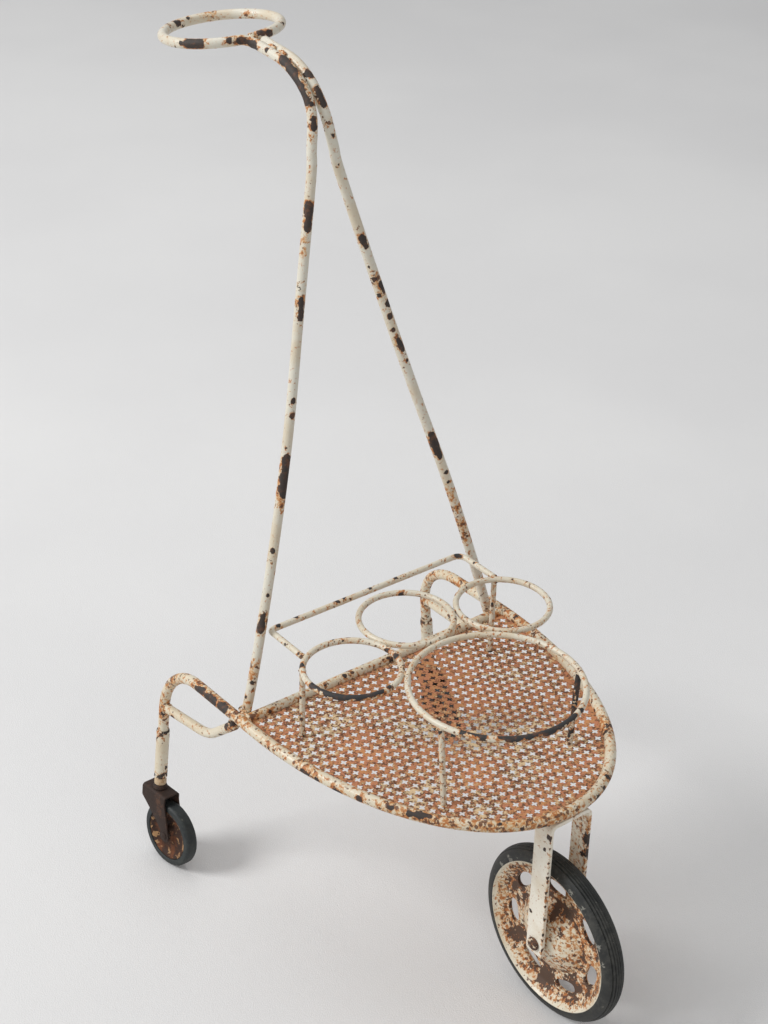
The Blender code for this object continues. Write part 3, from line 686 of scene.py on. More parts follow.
def rail_path():
    right = ring_layout()["right_ring"][0]
    outside = SMALL_RING + ROD / 2 + GAP
    end_y = right.y + math.sqrt(outside ** 2 - (RAIL_X - ROD / 2 - right.x) ** 2)
    corners = [((-RAIL_X, end_y, RING_Z), 0), ((-RAIL_X, RAIL_Y, RING_Z), 0.0050),
               ((RAIL_X, RAIL_Y, RING_Z), 0.0110), ((RAIL_X, end_y, RING_Z), 0)]
    return bent_path(corners)


# ---- worn places of the paint, in the layout's frame -----------------------------------
WORN_SCALE = 0.88
MARK_STEP = 3.5
RAGGED = 0.70
RAGGED_SCALE = 0.19
# Where paint is gone, in millimetres: how far a mark reaches, then the point or line it follows.
# These numbers were not designed here: places picked on the photograph were projected on to the tubes,
# then thinned and grouped. Another program projected places picked on the photograph on to the tubes,
# and its output was thinned and grouped by hand. BARE_ARCS comes from the same projection.
WORN = {
    "stem": (
        (6.8, (-56, 241, 845), (-49, 229, 847)), (4.3, (-58, 279, 839)), (3.2, (-58, 248, 844)),
        (5.4, (-19, 318, 840)), (4.7, (-4, 321, 842)), (3.7, (-43, 306, 841)), (5.0, (-28, 212, 851)),
        (6.0, (-18, 207, 849), (-12, 203, 848), (-10, 196, 845)), (5.0, (3, 207, 853), (16, 208, 851)),
        (5.0, (39, 222, 852)), (4.1, (-8, 177, 846)), (4.1, (-6, 163, 846)),
        (6.6, (-7, 152, 844), (-8, 142, 840), (-10, 131, 832), (-10, 120, 824), (-11, 113, 815)),
        (6.1, (-7, 107, 813)), (5.2, (-9, 102, 802), (-10, 99, 794)), (5.0, (-20, 91, 748)),
        (6.2, (-25, 87, 726), (-29, 83, 704)), (4.6, (-46, 70, 643), (-49, 67, 625)),
        (3.9, (-70, 50, 551)), (5.4, (-73, 48, 537)), (3.6, (-84, 43, 508)),
        (8.0, (-85, 40, 498), (-88, 37, 484), (-93, 33, 464)), (3.4, (-113, 25, 412)),
        (4.0, (-124, 18, 369)), (5.4, (-131, 17, 348), (-135, 15, 334)), (3.4, (-150, 10, 281)),
        (3.4, (-157, 12, 265)),
    ),
    "right_upright": (
        (3.9, (2, 152, 842)), (5.4, (4, 128, 834)), (5.6, (4, 115, 824), (6, 106, 812)),
        (4.2, (10, 97, 783)), (4.3, (30, 79, 684), (34, 76, 675)), (3.9, (37, 75, 654)),
        (4.6, (40, 71, 641)), (5.2, (47, 69, 636), (50, 67, 628)), (3.7, (44, 68, 624)),
        (5.2, (53, 65, 615)), (5.8, (54, 61, 602)), (5.8, (56, 59, 588)),
        (5.2, (60, 56, 578), (64, 54, 568)), (3.4, (68, 51, 555)),
        (6.2, (90, 35, 472), (95, 32, 454), (98, 30, 446)), (5.2, (104, 27, 428)), (4.2, (106, 26, 416)),
    ),
    "rim": (
        (5.0, (-175, 128, 219)), (5.0, (-173, 118, 231)), (5.4, (-174, 76, 246), (-172, 64, 248)),
        (5.8, (-174, 57, 247), (-173, 43, 248)), (5.8, (-173, 32, 249), (-172, 24, 249)),
        (5.8, (-179, 136, 181)), (4.3, (-166, -98, 247), (-165, -104, 247)), (5.2, (-162, -116, 247)),
        (6.0, (-155, -136, 244), (-154, -143, 244)), (6.5, (-148, -164, 248)), (5.2, (-134, -194, 251)),
        (5.0, (-126, -210, 251), (-114, -226, 253)), (6.5, (-33, -292, 244)), (3.4, (-69, -273, 253)),
        (3.6, (-54, -286, 248)), (5.2, (58, -280, 251)), (5.8, (47, -288, 249)), (5.6, (33, -293, 246)),
        (4.8, (22, -295, 245)), (5.8, (176, 129, 209)), (4.3, (171, 116, 225)), (5.0, (173, 135, 182)),
    ),
    "left_brace": (
        (5.8, (-178, 118, 186)), (6.6, (-171, 23, 229), (-171, 14, 239)), (4.5, (-171, 35, 212)),
        (5.0, (-167, 14, 240)),
    ),
    "rail": (
        (3.2, (-39, 19, 329)), (3.2, (35, 20, 329)), (3.1, (2, 19, 329)), (4.5, (-112, 18, 329)),
        (3.6, (-90, 21, 329)), (3.6, (-124, -11, 327)), (3.6, (-123, -32, 328)), (4.5, (115, 17, 329)),
        (3.1, (120, -5, 328)), (3.6, (117, 14, 328)),
    ),
    "middle_ring": ((6.8, (23, -5, 326)),),
    "left_ring": ((4.5, (-133, -50, 328)), (5.2, (-50, -76, 327)), (5.2, (-50, -90, 328))),
    "big_ring": ((3.7, (37, -260, 327)),),
    "right_ring": ((3.6, (111, -122, 328)), (2.5, (131, -53, 329)), (3.0, (65, -40, 327))),
    "post_front_left": ((3.7, (-86, -201, 321)),),
    "post_front_right": ((5.4, (76, -208, 318), (75, -209, 309)), (3.6, (67, -216, 257))),
    "post_rear_left": ((3.6, (-136, -53, 294)), (2.8, (-136, -52, 273))),
    "post_rear_right": ((3.6, (113, -44, 301)),),
    "crossbar": (
        (3.6, (-45, -2, 252)), (2.8, (-36, -2, 252)), (3.6, (10, -3, 252)), (3.4, (-103, -5, 248)),
        (3.7, (-139, -5, 249)), (2.3, (-71, -3, 251)),
    ),
}
# bare arcs on top of the rings: reach in millimetres, first and last angle in degrees
BARE_ARCS = {"left_ring": ((5.4, 180, 268), (4.4, 268, 281)),
             "big_ring": ((4.5, 207, 221), (5.4, 231, 281), (4.9, 281, 287))}
ARC_LIFT = 0.0016

# where rust has bled over the paint: x, y, z and reach, in millimetres
JOINT_RUST = ((-158, 11, 252, 30), (-169, 0, 248, 26), (-177, 139, 187, 24), (-169, 14, 238, 22),
              (-174, 125, 235, 30), (-170, 70, 243, 26))
NOSE_RUST = ((-85, -265, 245, 20), (-66, -278, 244, 22), (-46, -287, 243, 22), (-26, -293, 242, 22),
             (-5, -296, 243, 20), (-112, -240, 246, 24), (-140, -196, 246, 22), (-165, -100, 246, 24),
             (115, -222, 243, 26), (168, -40, 250, 30))
STEM_RUST = ((-46, 232, 849, 9), (-24, 214, 852, 9), (-16, 205, 851, 9), (3, 212, 855, 10),
             (-8, 104, 797, 9), (-12, 101, 785, 8), (-36, 80, 684, 9), (-34, 82, 694, 8),
             (-48, 71, 640, 12),
             (-97, 33, 452, 10), (-94, 34, 463, 12), (-150, 15, 295, 22), (-135, 17, 340, 14),
             (-60, 300, 842, 10), (20, 320, 842, 14), (45, 290, 842, 14))
RIGHT_RUST = ((110, 28, 402, 16), (115, 25, 384, 16), (121, 23, 364, 16), (127, 21, 345, 14),
              (150, 15, 290, 20), (62, 55, 575, 12), (44, 70, 640, 12), (9, 104, 796, 10))


def mirror_rows(rows):
    return tuple((-row[0],) + row[1:] for row in rows)


def mark_rows(label):
    """Rows x, y, z and reach, a small step apart, along the marks and bare arcs of a piece."""
    rows = []
    for reach, *line in WORN.get(label, ()):
        rows.append((*line[0], reach))
        for a, b in zip(line, line[1:]):
            steps = math.ceil(math.dist(a, b) / MARK_STEP)
            rows += [(*Vector(a).lerp(Vector(b), i / steps), reach) for i in range(1, steps + 1)]
    for reach, first, last in BARE_ARCS.get(label, ()):
        centre, radius = ring_layout()[label]
        steps = math.ceil(math.radians(last - first) * radius * 1000 / MARK_STEP)
        for i in range(steps + 1):
            turn = math.radians(first + (last - first) * i / steps)
            spot = centre + Vector((radius * math.cos(turn), radius * math.sin(turn), ARC_LIFT))
            rows.append((*(spot * 1000), reach))
    return [(x, y, z, reach * (1.0 + RAGGED * noise.noise(Vector((x, y, z)) * RAGGED_SCALE)))
            for x, y, z, reach in rows]


def chipped_at(rows):
    """Spots of full wear from rows in millimetres."""
    return [(x / 1000, y / 1000, z / 1000, WORN_SCALE * reach / 1000, 1.0) for x, y, z, reach in rows]


def rusted_at(*lists, grow=1.0, amount=0.8):
    """Spots of stain from rows in millimetres, each reaching grow times as far."""
    return [(x / 1000, y / 1000, z / 1000, grow * reach / 1000, amount)
            for rows in lists for x, y, z, reach in rows]


# ---- pieces of the frame ---------------------------------------------------------------
def post_ends(name, ring, degrees, lean_x, lean_y):
    """Foot and top of a post under the rings."""
    centre, radius = ring_layout()[ring]
    angle = math.radians(degrees)
    top = centre + Vector((math.cos(angle), math.sin(angle), 0.0)) * radius
    foot = Vector((top.x + lean_x, top.y + lean_y, SHEET_TOP_Z - 0.0004))
    top.z = RING_Z - ROD / 2 + 0.0010
    return foot, top


def make_frame_tubes(paint, rod_paint, stem_paint):
    joints = rusted_at(JOINT_RUST, mirror_rows(JOINT_RUST), amount=0.5)

    def painted(name, nodes, path, diameter, label, rust=(), **look):
        rows = mark_rows(label)
        bleed = joints + rusted_at(rust, amount=0.9) + rusted_at(rows, grow=1.7, amount=0.5)
        tube(name, nodes, path, diameter, look.pop("coat", paint), chipped_at(rows), bleed, **look)

    painted("rim_tube", ["tray_rim"], rim_path(), RIM_TUBE, "rim", NOSE_RUST, wear=0.04, stain=0.50)
    reach = RIM_HALF_WIDTH - RIM_TUBE / 2 + 0.001
    bar = [Vector((-reach, 0.0, RIM_Z)), Vector((reach, 0.0, RIM_Z))]
    painted("crossbar_tube", ["rear_crossbar"], bar, BAR_TUBE, "crossbar", wear=0.05, stain=0.58)
    painted("brace_tube_left", ["left_brace"], brace_path(), BRACE_TUBE, "left_brace", stain=0.25)
    painted("brace_tube_right", ["right_brace"], mirrored(brace_path()), BRACE_TUBE, "", wear=0.05,
            stain=0.30)
    stem = upright_path(NECK_END_Y) + handle_path()
    painted("upright_and_handle", ["left_upright", "handle_ring"], stem, POST_TUBE - HANDLE_TRIM,
            "stem", STEM_RUST, stain=0.15, coat=stem_paint)
    other = mirrored(upright_path(RIGHT_NECK_END_Y))
    painted("upright_tube_right", ["right_upright"], other, POST_TUBE, "right_upright", RIGHT_RUST,
            stain=0.22, coat=stem_paint)
    rod = {"coat": rod_paint, "sides": 16, "step": 0.0015}
    for name, (centre, radius) in ring_layout().items():
        painted(name + "_rod", [name], ring_path(centre, radius), ROD, name, closed=True, wear=0.05,
                stain=0.42, **rod)
    painted("rail_rod", ["rack_rail"], rail_path(), ROD, "rail", stain=0.30, **rod)
    for post in POSTS:
        name = post[0]
        painted(name + "_rod", [name], list(post_ends(*post)), STAND_ROD, name, wear=POST_WEAR[name],
                stain=0.55, **rod)


def star_hole(centre, size, turn):
    """Outline of one four-armed hole with waisted arms and round ends."""
    points = []
    for arm in range(4):
        base = turn + math.pi / 2 * arm
        for along, across in ((0.40, -0.42), (0.80, -0.36), (1.0, -0.18), (1.0, 0.18), (0.80, 0.36)):
            u = along * HOLE_ARM * size
            v = across * HOLE_ARM * size * 0.86
            points.append((centre.x + u * math.cos(base) - v * math.sin(base),
                           centre.y + u * math.sin(base) + v * math.cos(base)))
    return points


def sheet_outline():
    inset = RIM_TUBE / 2 - 0.0006
    rear = -(BAR_TUBE / 2 - 0.0006)
    line = rim_nose(120)
    outline = [(-RIM_HALF_WIDTH + inset, rear)]
    for before, point, after in zip(line, line[1:], line[2:]):
        along = (after - before).normalized()
        moved = point + Vector((-along.y, along.x, 0.0)) * inset
        if moved.y < rear - 0.002:
            outline.append((moved.x, moved.y))
    outline.append((RIM_HALF_WIDTH - inset, rear))
    return outline


def inside_rim(x, y, margin):
    """True where a hole clears the rim and the crossbar by a margin."""
    half = RIM_HALF_WIDTH - RIM_TUBE / 2 - margin
    length = RIM_LENGTH - RIM_TUBE / 2 - margin
    if y > -(BAR_TUBE / 2 + margin) or abs(x) >= half:
        return False
    return (abs(x) / half) ** RIM_POWER + (-y / length) ** RIM_POWER < 1.0


def make_sheet(metal):
    """The perforated sheet: a flat outline with star holes, filled and given its thickness."""
    dice = random.Random(11)
    curve = bpy.data.curves.new("sheet_outline", "CURVE")
    curve.dimensions = "2D"
    curve.fill_mode = "BOTH"
    curve.extrude = SHEET_THICK / 2 - 0.0001
    curve.bevel_depth = 0.0001
    curve.bevel_resolution = 0
    outlines = [sheet_outline()]
    for row in HOLE_ROWS:
        for column in HOLE_COLUMNS:
            shift = 0.5 * (row % 2)
            spot = Vector(((column + shift) * HOLE_PITCH_X + HOLE_SHIFT.x + row * HOLE_SKEW,
                           row * HOLE_PITCH_Y + HOLE_SHIFT.y))
            if inside_rim(spot.x, spot.y, HOLE_ARM * 0.9):
                size = dice.uniform(0.92, 1.04) if dice.random() > 0.05 else dice.uniform(0.66, 0.85)
                wobble = Vector((dice.uniform(-1, 1), dice.uniform(-1, 1))) * 0.00018
                outlines.append(star_hole(spot + wobble, size, dice.uniform(-0.05, 0.05)))
    for outline in outlines:
        spline = curve.splines.new("POLY")
        spline.points.add(len(outline) - 1)
        for point, (x, y) in zip(spline.points, outline):
            point.co = (x, y, 0.0, 1.0)
        spline.use_cyclic_u = True
    filled = bpy.data.objects.new("sheet_outline", curve)
    bpy.context.scene.collection.objects.link(filled)
    graph = bpy.context.evaluated_depsgraph_get()
    mesh = bpy.data.meshes.new_from_object(filled.evaluated_get(graph))
    bpy.data.objects.remove(filled)
    middle = SHEET_TOP_Z - SHEET_THICK / 2
    corners = []
    for vertex in mesh.vertices:
        x, y, z = vertex.co
        corners.append(Vector((x, y, middle + z)))
    faces = [tuple(polygon.vertices) for polygon in mesh.polygons]
    bpy.data.meshes.remove(mesh)
    piece = new_piece("perforated_sheet", corners, faces, metal)
    bm = bmesh.new()
    bm.from_mesh(piece.data)
    bmesh.ops.remove_doubles(bm, verts=bm.verts, dist=1e-6)
    bm.to_mesh(piece.data)
    bm.free()
    soft_edges(piece)
    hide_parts("tray_sheet")
    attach(piece, "trolley_frame")


# ---- welds -----------------------------------------------------------------------------
def weld_ring(centre, axis, radius, size, seed):
    """A lumpy bead round a tube's end."""
    axis = axis.normalized()
    across = axis.orthogonal().normalized()
    other = axis.cross(across)
    count = 30
    path = []
    for i in range(count):
        turn = math.tau * i / count
        path.append(centre + (across * math.cos(turn) + other * math.sin(turn)) * radius)
    sections = []
    for i, spot in enumerate(path):
        swell = size * (0.78 + 0.45 * noise.noise(spot * 420.0 + Vector((seed, 0.0, 0.0))))
        sections.append([(swell * math.cos(math.tau * j / 8), swell * math.sin(math.tau * j / 8))
                         for j in range(8)])
    return swept(path, sections, True, axis)


def weld_lump(centre, size, seed):
    """A flattened, uneven blob of weld between two rods."""
    bm = bmesh.new()
    bmesh.ops.create_icosphere(bm, subdivisions=3, radius=1.0)
    corners = []
    for vertex in bm.verts:
        push = 1.0 + 0.28 * noise.noise(vertex.co * 2.2 + Vector((seed, 0.3, 0.0)))
        corners.append(centre + Vector([c * s * push for c, s in zip(vertex.co, size)]))
    faces = [tuple(vertex.index for vertex in face.verts) for face in bm.faces]
    bm.free()
    return corners, faces


# beads round the ends of the left side's tubes: centre, axis, radius and half thickness
SIDE_BEADS = (
    (Vector((-0.1580, 0.0111, 0.2520)), Vector((0.06, 0.03, 1.0)), 0.0054, 0.0017),
    (Vector((-0.1630, 0.0, RIM_Z)), Vector((1.0, 0.0, 0.0)), 0.0054, 0.0016),
    (leg_at(BRACE_LEG_Z) - Vector((0.0, 0.0052, 0.0)), Vector((0.0, 1.0, 0.0)), 0.0051, 0.0017),
    (Vector((-0.1690, 0.0155, 0.2350)), Vector((0.0, -0.75, 0.66)), 0.0050, 0.0017))
CORNER_LUMP = Vector((-0.1640, 0.0068, 0.2500)), (0.0040, 0.0048, 0.0034)
RING_PAIRS = (("big_ring", "middle_ring"), ("big_ring", "left_ring"), ("big_ring", "right_ring"),
              ("middle_ring", "left_ring"), ("middle_ring", "right_ring"))
PAIR_LUMP = (0.0030, 0.0030, 0.0021)
RAIL_LUMP = (0.0036, 0.0030, 0.0024)
POST_LUMP = (0.0036, 0.0036, 0.0020)
FORK_LUMP = (0.0075, 0.0045, 0.0030)
FORK_LUMP_AT = Vector((0.0150, -0.2890, 0.2418))
RING_END_LUMP = (0.0046, 0.0052, 0.0044)
NECK_END_LUMP = (0.0050, 0.0060, 0.0048)
NECK_LUMP = (0.0022, 0.0060, 0.0024)
NECK_LUMPS_Y = (0.1640, 0.1800)


def make_welds(paint):
    """All beads of the frame as one painted piece; each has a seed of its own."""
    rings = ring_layout()
    one_side = [weld_ring(*bead, 1.0 + i) for i, bead in enumerate(SIDE_BEADS)]
    one_side.append(weld_lump(*CORNER_LUMP, 5.0))
    beads = []
    for corners, faces in one_side:
        beads.append((corners, faces))
        beads.append((mirrored(corners), [face[::-1] for face in faces]))
    for seed, (one, two) in enumerate(RING_PAIRS):
        (a, ra), (b, _) = rings[one], rings[two]
        meet = a + (b - a).normalized() * (ra + ROD / 2)
        beads.append(weld_lump(meet, PAIR_LUMP, 11.0 + seed))
    rail = rail_path()
    for seed, spot in enumerate((rail[0], rail[-1])):
        beads.append(weld_lump(spot, RAIL_LUMP, 21.0 + seed))
    for seed, post in enumerate(POSTS):
        foot, top = post_ends(*post)
        foot.z = SHEET_TOP_Z + 0.0002
        beads.append(weld_lump(Vector((top.x, top.y, RING_Z - 0.0026)), POST_LUMP, 31.0 + seed))
        beads.append(weld_ring(foot, Vector((0.0, 0.0, 1.0)), 0.0030, 0.0009, 41.0 + seed))
    beads.append(weld_lump(mirrored([FORK_LUMP_AT])[0], FORK_LUMP, 51.0))
    beads.append(weld_lump(FORK_LUMP_AT, FORK_LUMP, 52.0))
    ring_end = handle_path()[-1]
    beads.append(weld_lump(ring_end + Vector((-0.0035, 0.0, 0.0)), RING_END_LUMP, 53.0))
    neck_end = Vector((NECK_X, RIGHT_NECK_END_Y, ring_end.z - 0.0052))
    beads.append(weld_lump(neck_end, NECK_END_LUMP, 54.0))
    neck = upright_path(NECK_END_Y)
    for seed, y in enumerate(NECK_LUMPS_Y):
        near = min(neck, key=lambda point: abs(point.y - y))
        beads.append(weld_lump(Vector((0.0, near.y, near.z + 0.0030)), NECK_LUMP, 61.0 + seed))
    all_corners = []
    all_faces = []
    for corners, faces in beads:
        base = len(all_corners)
        all_corners += corners
        all_faces += [tuple(i + base for i in face) for face in faces]
    piece = new_piece("weld_beads", all_corners, all_faces, paint, wear=0.10, stain=0.80)
    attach(piece, "trolley_frame")


# ---- front wheel and fork --------------------------------------------------------------
# chips and rust of the fork; on the right leg the rust also stands for painted shade of the leg's inner
# side: x, y, z, reach and amount
FORK_CHIPS = ((-0.026, -0.294, 0.229, 0.0055, 0.9), (-0.026, -0.289, 0.212, 0.003, 0.8),
              (-0.026, -0.277, 0.128, 0.004, 0.8), (0.0, WHEEL.y, RIM_Z, 0.030, 0.2),
              (0.024, -0.296, 0.205, 0.014, 0.7), (0.024, -0.296, 0.185, 0.012, 0.6))
FORK_RUST_AND_SHADE = ((0.024, WHEEL.y, 0.215, 0.050, 0.75), (0.024, WHEEL.y, 0.150, 0.060, 0.70),
             (-0.025, WHEEL.y, 0.080, 0.016, 0.5), (-0.025, WHEEL.y, 0.240, 0.014, 0.5))
FORK_EDGE_SPOTS = 26


def make_fork(paint):
    """A flat bar bent to an inverted U, its long edges rounded by the rolling mill."""
    top_z = RIM_Z - RIM_TUBE / 2 - GAP - FORK_PLATE / 2
    foot_z = WHEEL.z - 0.0125
    x = FORK_INNER + FORK_PLATE / 2
    path = bent_path([((-x, WHEEL.y, foot_z), 0), ((-x, WHEEL.y, top_z), 0.006),
                      ((x, WHEEL.y, top_z), 0.006), ((x, WHEEL.y, foot_z), 0)])
    line = even_path(path, 0.002, False)
    half_w = FORK_WIDTH / 2
    half_t = FORK_PLATE / 2
    across = 14
    lower = [(half_w * (2 * i / across - 1), -half_t) for i in range(across + 1)]
    box = rounded(lower + [(-a, -b) for a, b in lower], 0.0009)
    sections = []
    for i, spot in enumerate(line):
        ends = min(i, len(line) - 1 - i)
        trim = 0.0005 if ends == 0 else 0.0
        shrink = 0.0002 * lumpy(spot, 60.0, 200.0)
        sections.append([(a * (1.0 - (trim + shrink) / half_w), b - math.copysign(trim, b))
                         for a, b in box])
    corners, faces = swept(line, sections, False, Vector((0.0, 1.0, 0.0)))
    worn = list(FORK_CHIPS)
    rust = list(FORK_RUST_AND_SHADE)
    front = WHEEL.y - half_w
    for i in range(FORK_EDGE_SPOTS):
        z = foot_z + 0.006 * i + 0.003 * noise.noise(Vector((i * 0.7, 0.2, 0.0)))
        worn.append((-FORK_INNER - FORK_PLATE, front, z, 0.0028, 0.3 + 0.3 * (i % 3)))
        rust.append((-FORK_INNER - FORK_PLATE, front, z, 0.0045, 0.9))
        # on the right leg's front edge: rust, and painted shade of the leg's inner side
        rust.append((FORK_INNER, front, z, 0.0060, 0.60))
    piece = new_piece("fork_bar", corners, faces, paint, worn, rust)
    stand_for(piece, ["front_fork"], "trolley_frame")


DOME_RADIUS = 0.0440
DOME_HEIGHT = 0.0190
DISC_HOLE = 0.0066
DISC_SHEET = 0.0015
# the disc's outline outside its dome: radius, and distance from the wheel's middle plane
DISC_WEB = ((0.0437, 0.0024), (0.0446, 0.0018), (0.0470, 0.0022), (0.0500, 0.0018), (0.0530, 0.0018),
            (0.0570, 0.0018), (0.0610, 0.0018), (0.0655, 0.0018))
DISC_FLANGE = ((0.0675, 0.0026), (0.0700, 0.0050), (0.0730, 0.0078), (0.0762, 0.0094),
               (0.0772, 0.0104), (0.0776, 0.0113), (0.0783, 0.01172), (0.0790, 0.0115),
               (0.0793, 0.0106), (0.0792, 0.0088), (0.0740, 0.0054), (0.0712, 0.0033),
               (0.0680, 0.0003), (0.0428, 0.0003))


def disc_profile(side):
    """Closed section of one wheel disc: crowned dome, web, rolled flange with a rounded lip."""
    ball = (DOME_RADIUS ** 2 + DOME_HEIGHT ** 2) / (2 * DOME_HEIGHT)
    outer = []
    steps = 16
    for i in range(steps):
        radius = DISC_HOLE + (DOME_RADIUS - DISC_HOLE) * i / steps
        outer.append((radius, DOME_HEIGHT - ball + math.sqrt(ball ** 2 - radius ** 2)))
    outer += DISC_WEB + DISC_FLANGE
    inner = []
    for i in range(steps - 1, 0, -3):
        radius, along = outer[i]
        inner.append((radius, along - DISC_SHEET))
    profile = outer + inner + [(DISC_HOLE, outer[0][1] - DISC_SHEET)]
    return [(radius, side * along) for radius, along in profile]


def slot_outline(count=24):
    """One see-through slot: flat towards the dome, bulging towards the rim."""
    points = []
    for i in range(count):
        turn = math.tau * i / count
        tangent = SLOT_HALF * math.copysign(abs(math.cos(turn)) ** 0.85, math.cos(turn))
        rise = SLOT_OUTER - SLOT_RADIUS if math.sin(turn) > 0 else SLOT_RADIUS - SLOT_INNER
        radial = SLOT_RADIUS + rise * math.copysign(abs(math.sin(turn)) ** 0.9, math.sin(turn))
        points.append((tangent, math.sqrt(radial ** 2 - tangent ** 2 * 0.55)))
    return points


def cut_slots(piece):
    """Cut the seven slots out of a disc for good."""
    bm = bmesh.new()
    for i in range(SLOT_COUNT):
        turn = Matrix.Rotation(SLOT_PHASE + math.tau * i / SLOT_COUNT, 4, "X")
        low = [bm.verts.new(WHEEL + turn @ Vector((-CUTTER_HALF, a, r))) for a, r in slot_outline()]
        grown = bmesh.ops.extrude_face_region(bm, geom=[bm.faces.new(low)])
        top = [item for item in grown["geom"] if isinstance(item, bmesh.types.BMVert)]
        bmesh.ops.translate(bm, verts=top, vec=Vector((2 * CUTTER_HALF, 0.0, 0.0)))
    bmesh.ops.recalc_face_normals(bm, faces=bm.faces)
    mesh = bpy.data.meshes.new("slot_cutter")
    bm.to_mesh(mesh)
    bm.free()
    mesh.transform(LAYOUT)
    cutter = bpy.data.objects.new("slot_cutter", mesh)
    bpy.context.scene.collection.objects.link(cutter)
    modifier = piece.modifiers.new("slots", "BOOLEAN")
    modifier.operation = "DIFFERENCE"
    modifier.solver = "EXACT"
    modifier.object = cutter
    bpy.context.view_layer.update()
    graph = bpy.context.evaluated_depsgraph_get()
    cut = bpy.data.meshes.new_from_object(piece.evaluated_get(graph))
    piece.modifiers.clear()
    piece.data = cut
    bpy.data.objects.remove(cutter)


# paint of the front discs: radius, wear, stain
DISC_LOOK = ((0.000, 0.02, 0.65), (0.034, 0.04, 0.75), (0.042, 0.10, 0.95), (0.0440, 0.42, 0.90),
             (0.0465, 0.20, 0.85), (0.060, 0.22, 0.90), (0.071, 0.17, 0.95), (0.0752, 0.06, 0.80),
             (0.0770, -0.10, 0.30), (0.080, -0.20, 0.10))
# darkest places of the discs, rust and, on the dome's upper side beside the fork leg, a painted shadow of
# the leg: y and z from the axle, reach, wear
DISC_DARK_RUST_AND_SHADOW = ((-0.004, 0.034, 0.012, 0.4), (-0.014, 0.040, 0.016, 0.4), (0.014, 0.055, 0.016, 0.35),
             (0.052, 0.030, 0.018, 0.35), (0.045, -0.035, 0.018, 0.30), (0.000, -0.058, 0.018, 0.35),
             (-0.030, -0.050, 0.016, 0.30), (-0.050, 0.030, 0.014, 0.30))


def set_disc_wear(piece):
    """Wear and stain of a disc by radius: dotted dome, rusted web, sound flange; dark spots add rust and a
    painted shadow of the fork leg.
    """
    count = len(piece.data.vertices)
    places = np.empty(count * 3)
    piece.data.vertices.foreach_get("co", places)
    places = places.reshape(count, 3) - np.array(LAYOUT @ WHEEL)
    radius = np.hypot(places[:, 1], places[:, 2])
    radii, wears, stains = zip(*DISC_LOOK)
    # dark spots: rust, and a painted shadow of the fork leg on the dome
    dark = spread([(0.0, y, z) for y, z in places[:, 1:]], [(0.0, *row) for row in DISC_DARK_RUST_AND_SHADOW])
    for label, values, extra in (("wear", wears, dark), ("stain", stains, 0.0)):
        attributes = piece.data.attributes
        layer = attributes.get(label) or attributes.new(label, "FLOAT", "POINT")
        layer.data.foreach_set("value", np.interp(radius, radii, values) + extra)


def make_front_wheel(disc_paint, steel, rubber):
    hub = Matrix.Translation(WHEEL)
    for side, tag in ((-1.0, "left"), (1.0, "right")):
        piece = new_piece("wheel_disc_" + tag, *turned(disc_profile(side), 120, hub), disc_paint)
        soft_edges(piece)
        cut_slots(piece)
        set_disc_wear(piece)
        stand_for(piece, ["front_disc_" + tag], "front_wheel")
    bush = rounded([(0.0043, -0.0214), (0.0062, -0.0214), (0.0062, 0.0214), (0.0043, 0.0214)], 0.0005)
    piece = new_piece("axle_bush", *turned(bush, 48, hub), steel)
    stand_for(piece, ["front_bush"], "front_wheel")
    flakes = []
    for i in range(12):
        angle = math.radians(20.0 + 13.0 * i)
        spot = WHEEL + Vector((0.0, math.cos(angle), math.sin(angle))) * FLAKE_RADIUS
        flakes.append((-0.0112, spot.y, spot.z, 0.0070, 0.9 if i % 3 else 0.4))
    piece = new_piece("front_tyre_rubber", *turned(tyre_profile(), 144, hub), rubber, flakes)
    stand_for(piece, ["front_tyre"], "front_wheel")


def tyre_profile():
    """Section of the solid tyre: ribbed tread, smooth walls with a bead line, wedge seat."""
    middle = WHEEL_RADIUS - TYRE_HALF
    profile = []
    steps = 96
    for i in range(steps + 1):
        angle = math.radians(-6.0 + 192.0 * i / steps)
        along = TYRE_HALF * math.cos(angle)
        radius = middle + TYRE_HALF * math.sin(angle)
        depth = 0.0
        for groove in TREAD_GROOVES:
            near = abs(abs(along) - groove) / GROOVE_HALF
            if near < 1.0:
                depth = GROOVE_DEPTH * (1.0 - near ** 2)
        scale = (TYRE_HALF - depth) / TYRE_HALF
        profile.append((middle + (radius - middle) * scale, along * scale))
    seat = [(0.0796, -0.0113), (0.0796, -0.0083), (0.0716, -0.0026), (0.0716, 0.0026),
            (0.0796, 0.0083), (0.0796, 0.0113)]
    return profile + seat


BOLT_HEAD = 0.0070
BOLT_SHANK = 0.0040
NUT_RADIUS = 0.0078
NUT_HEIGHT = 0.0058


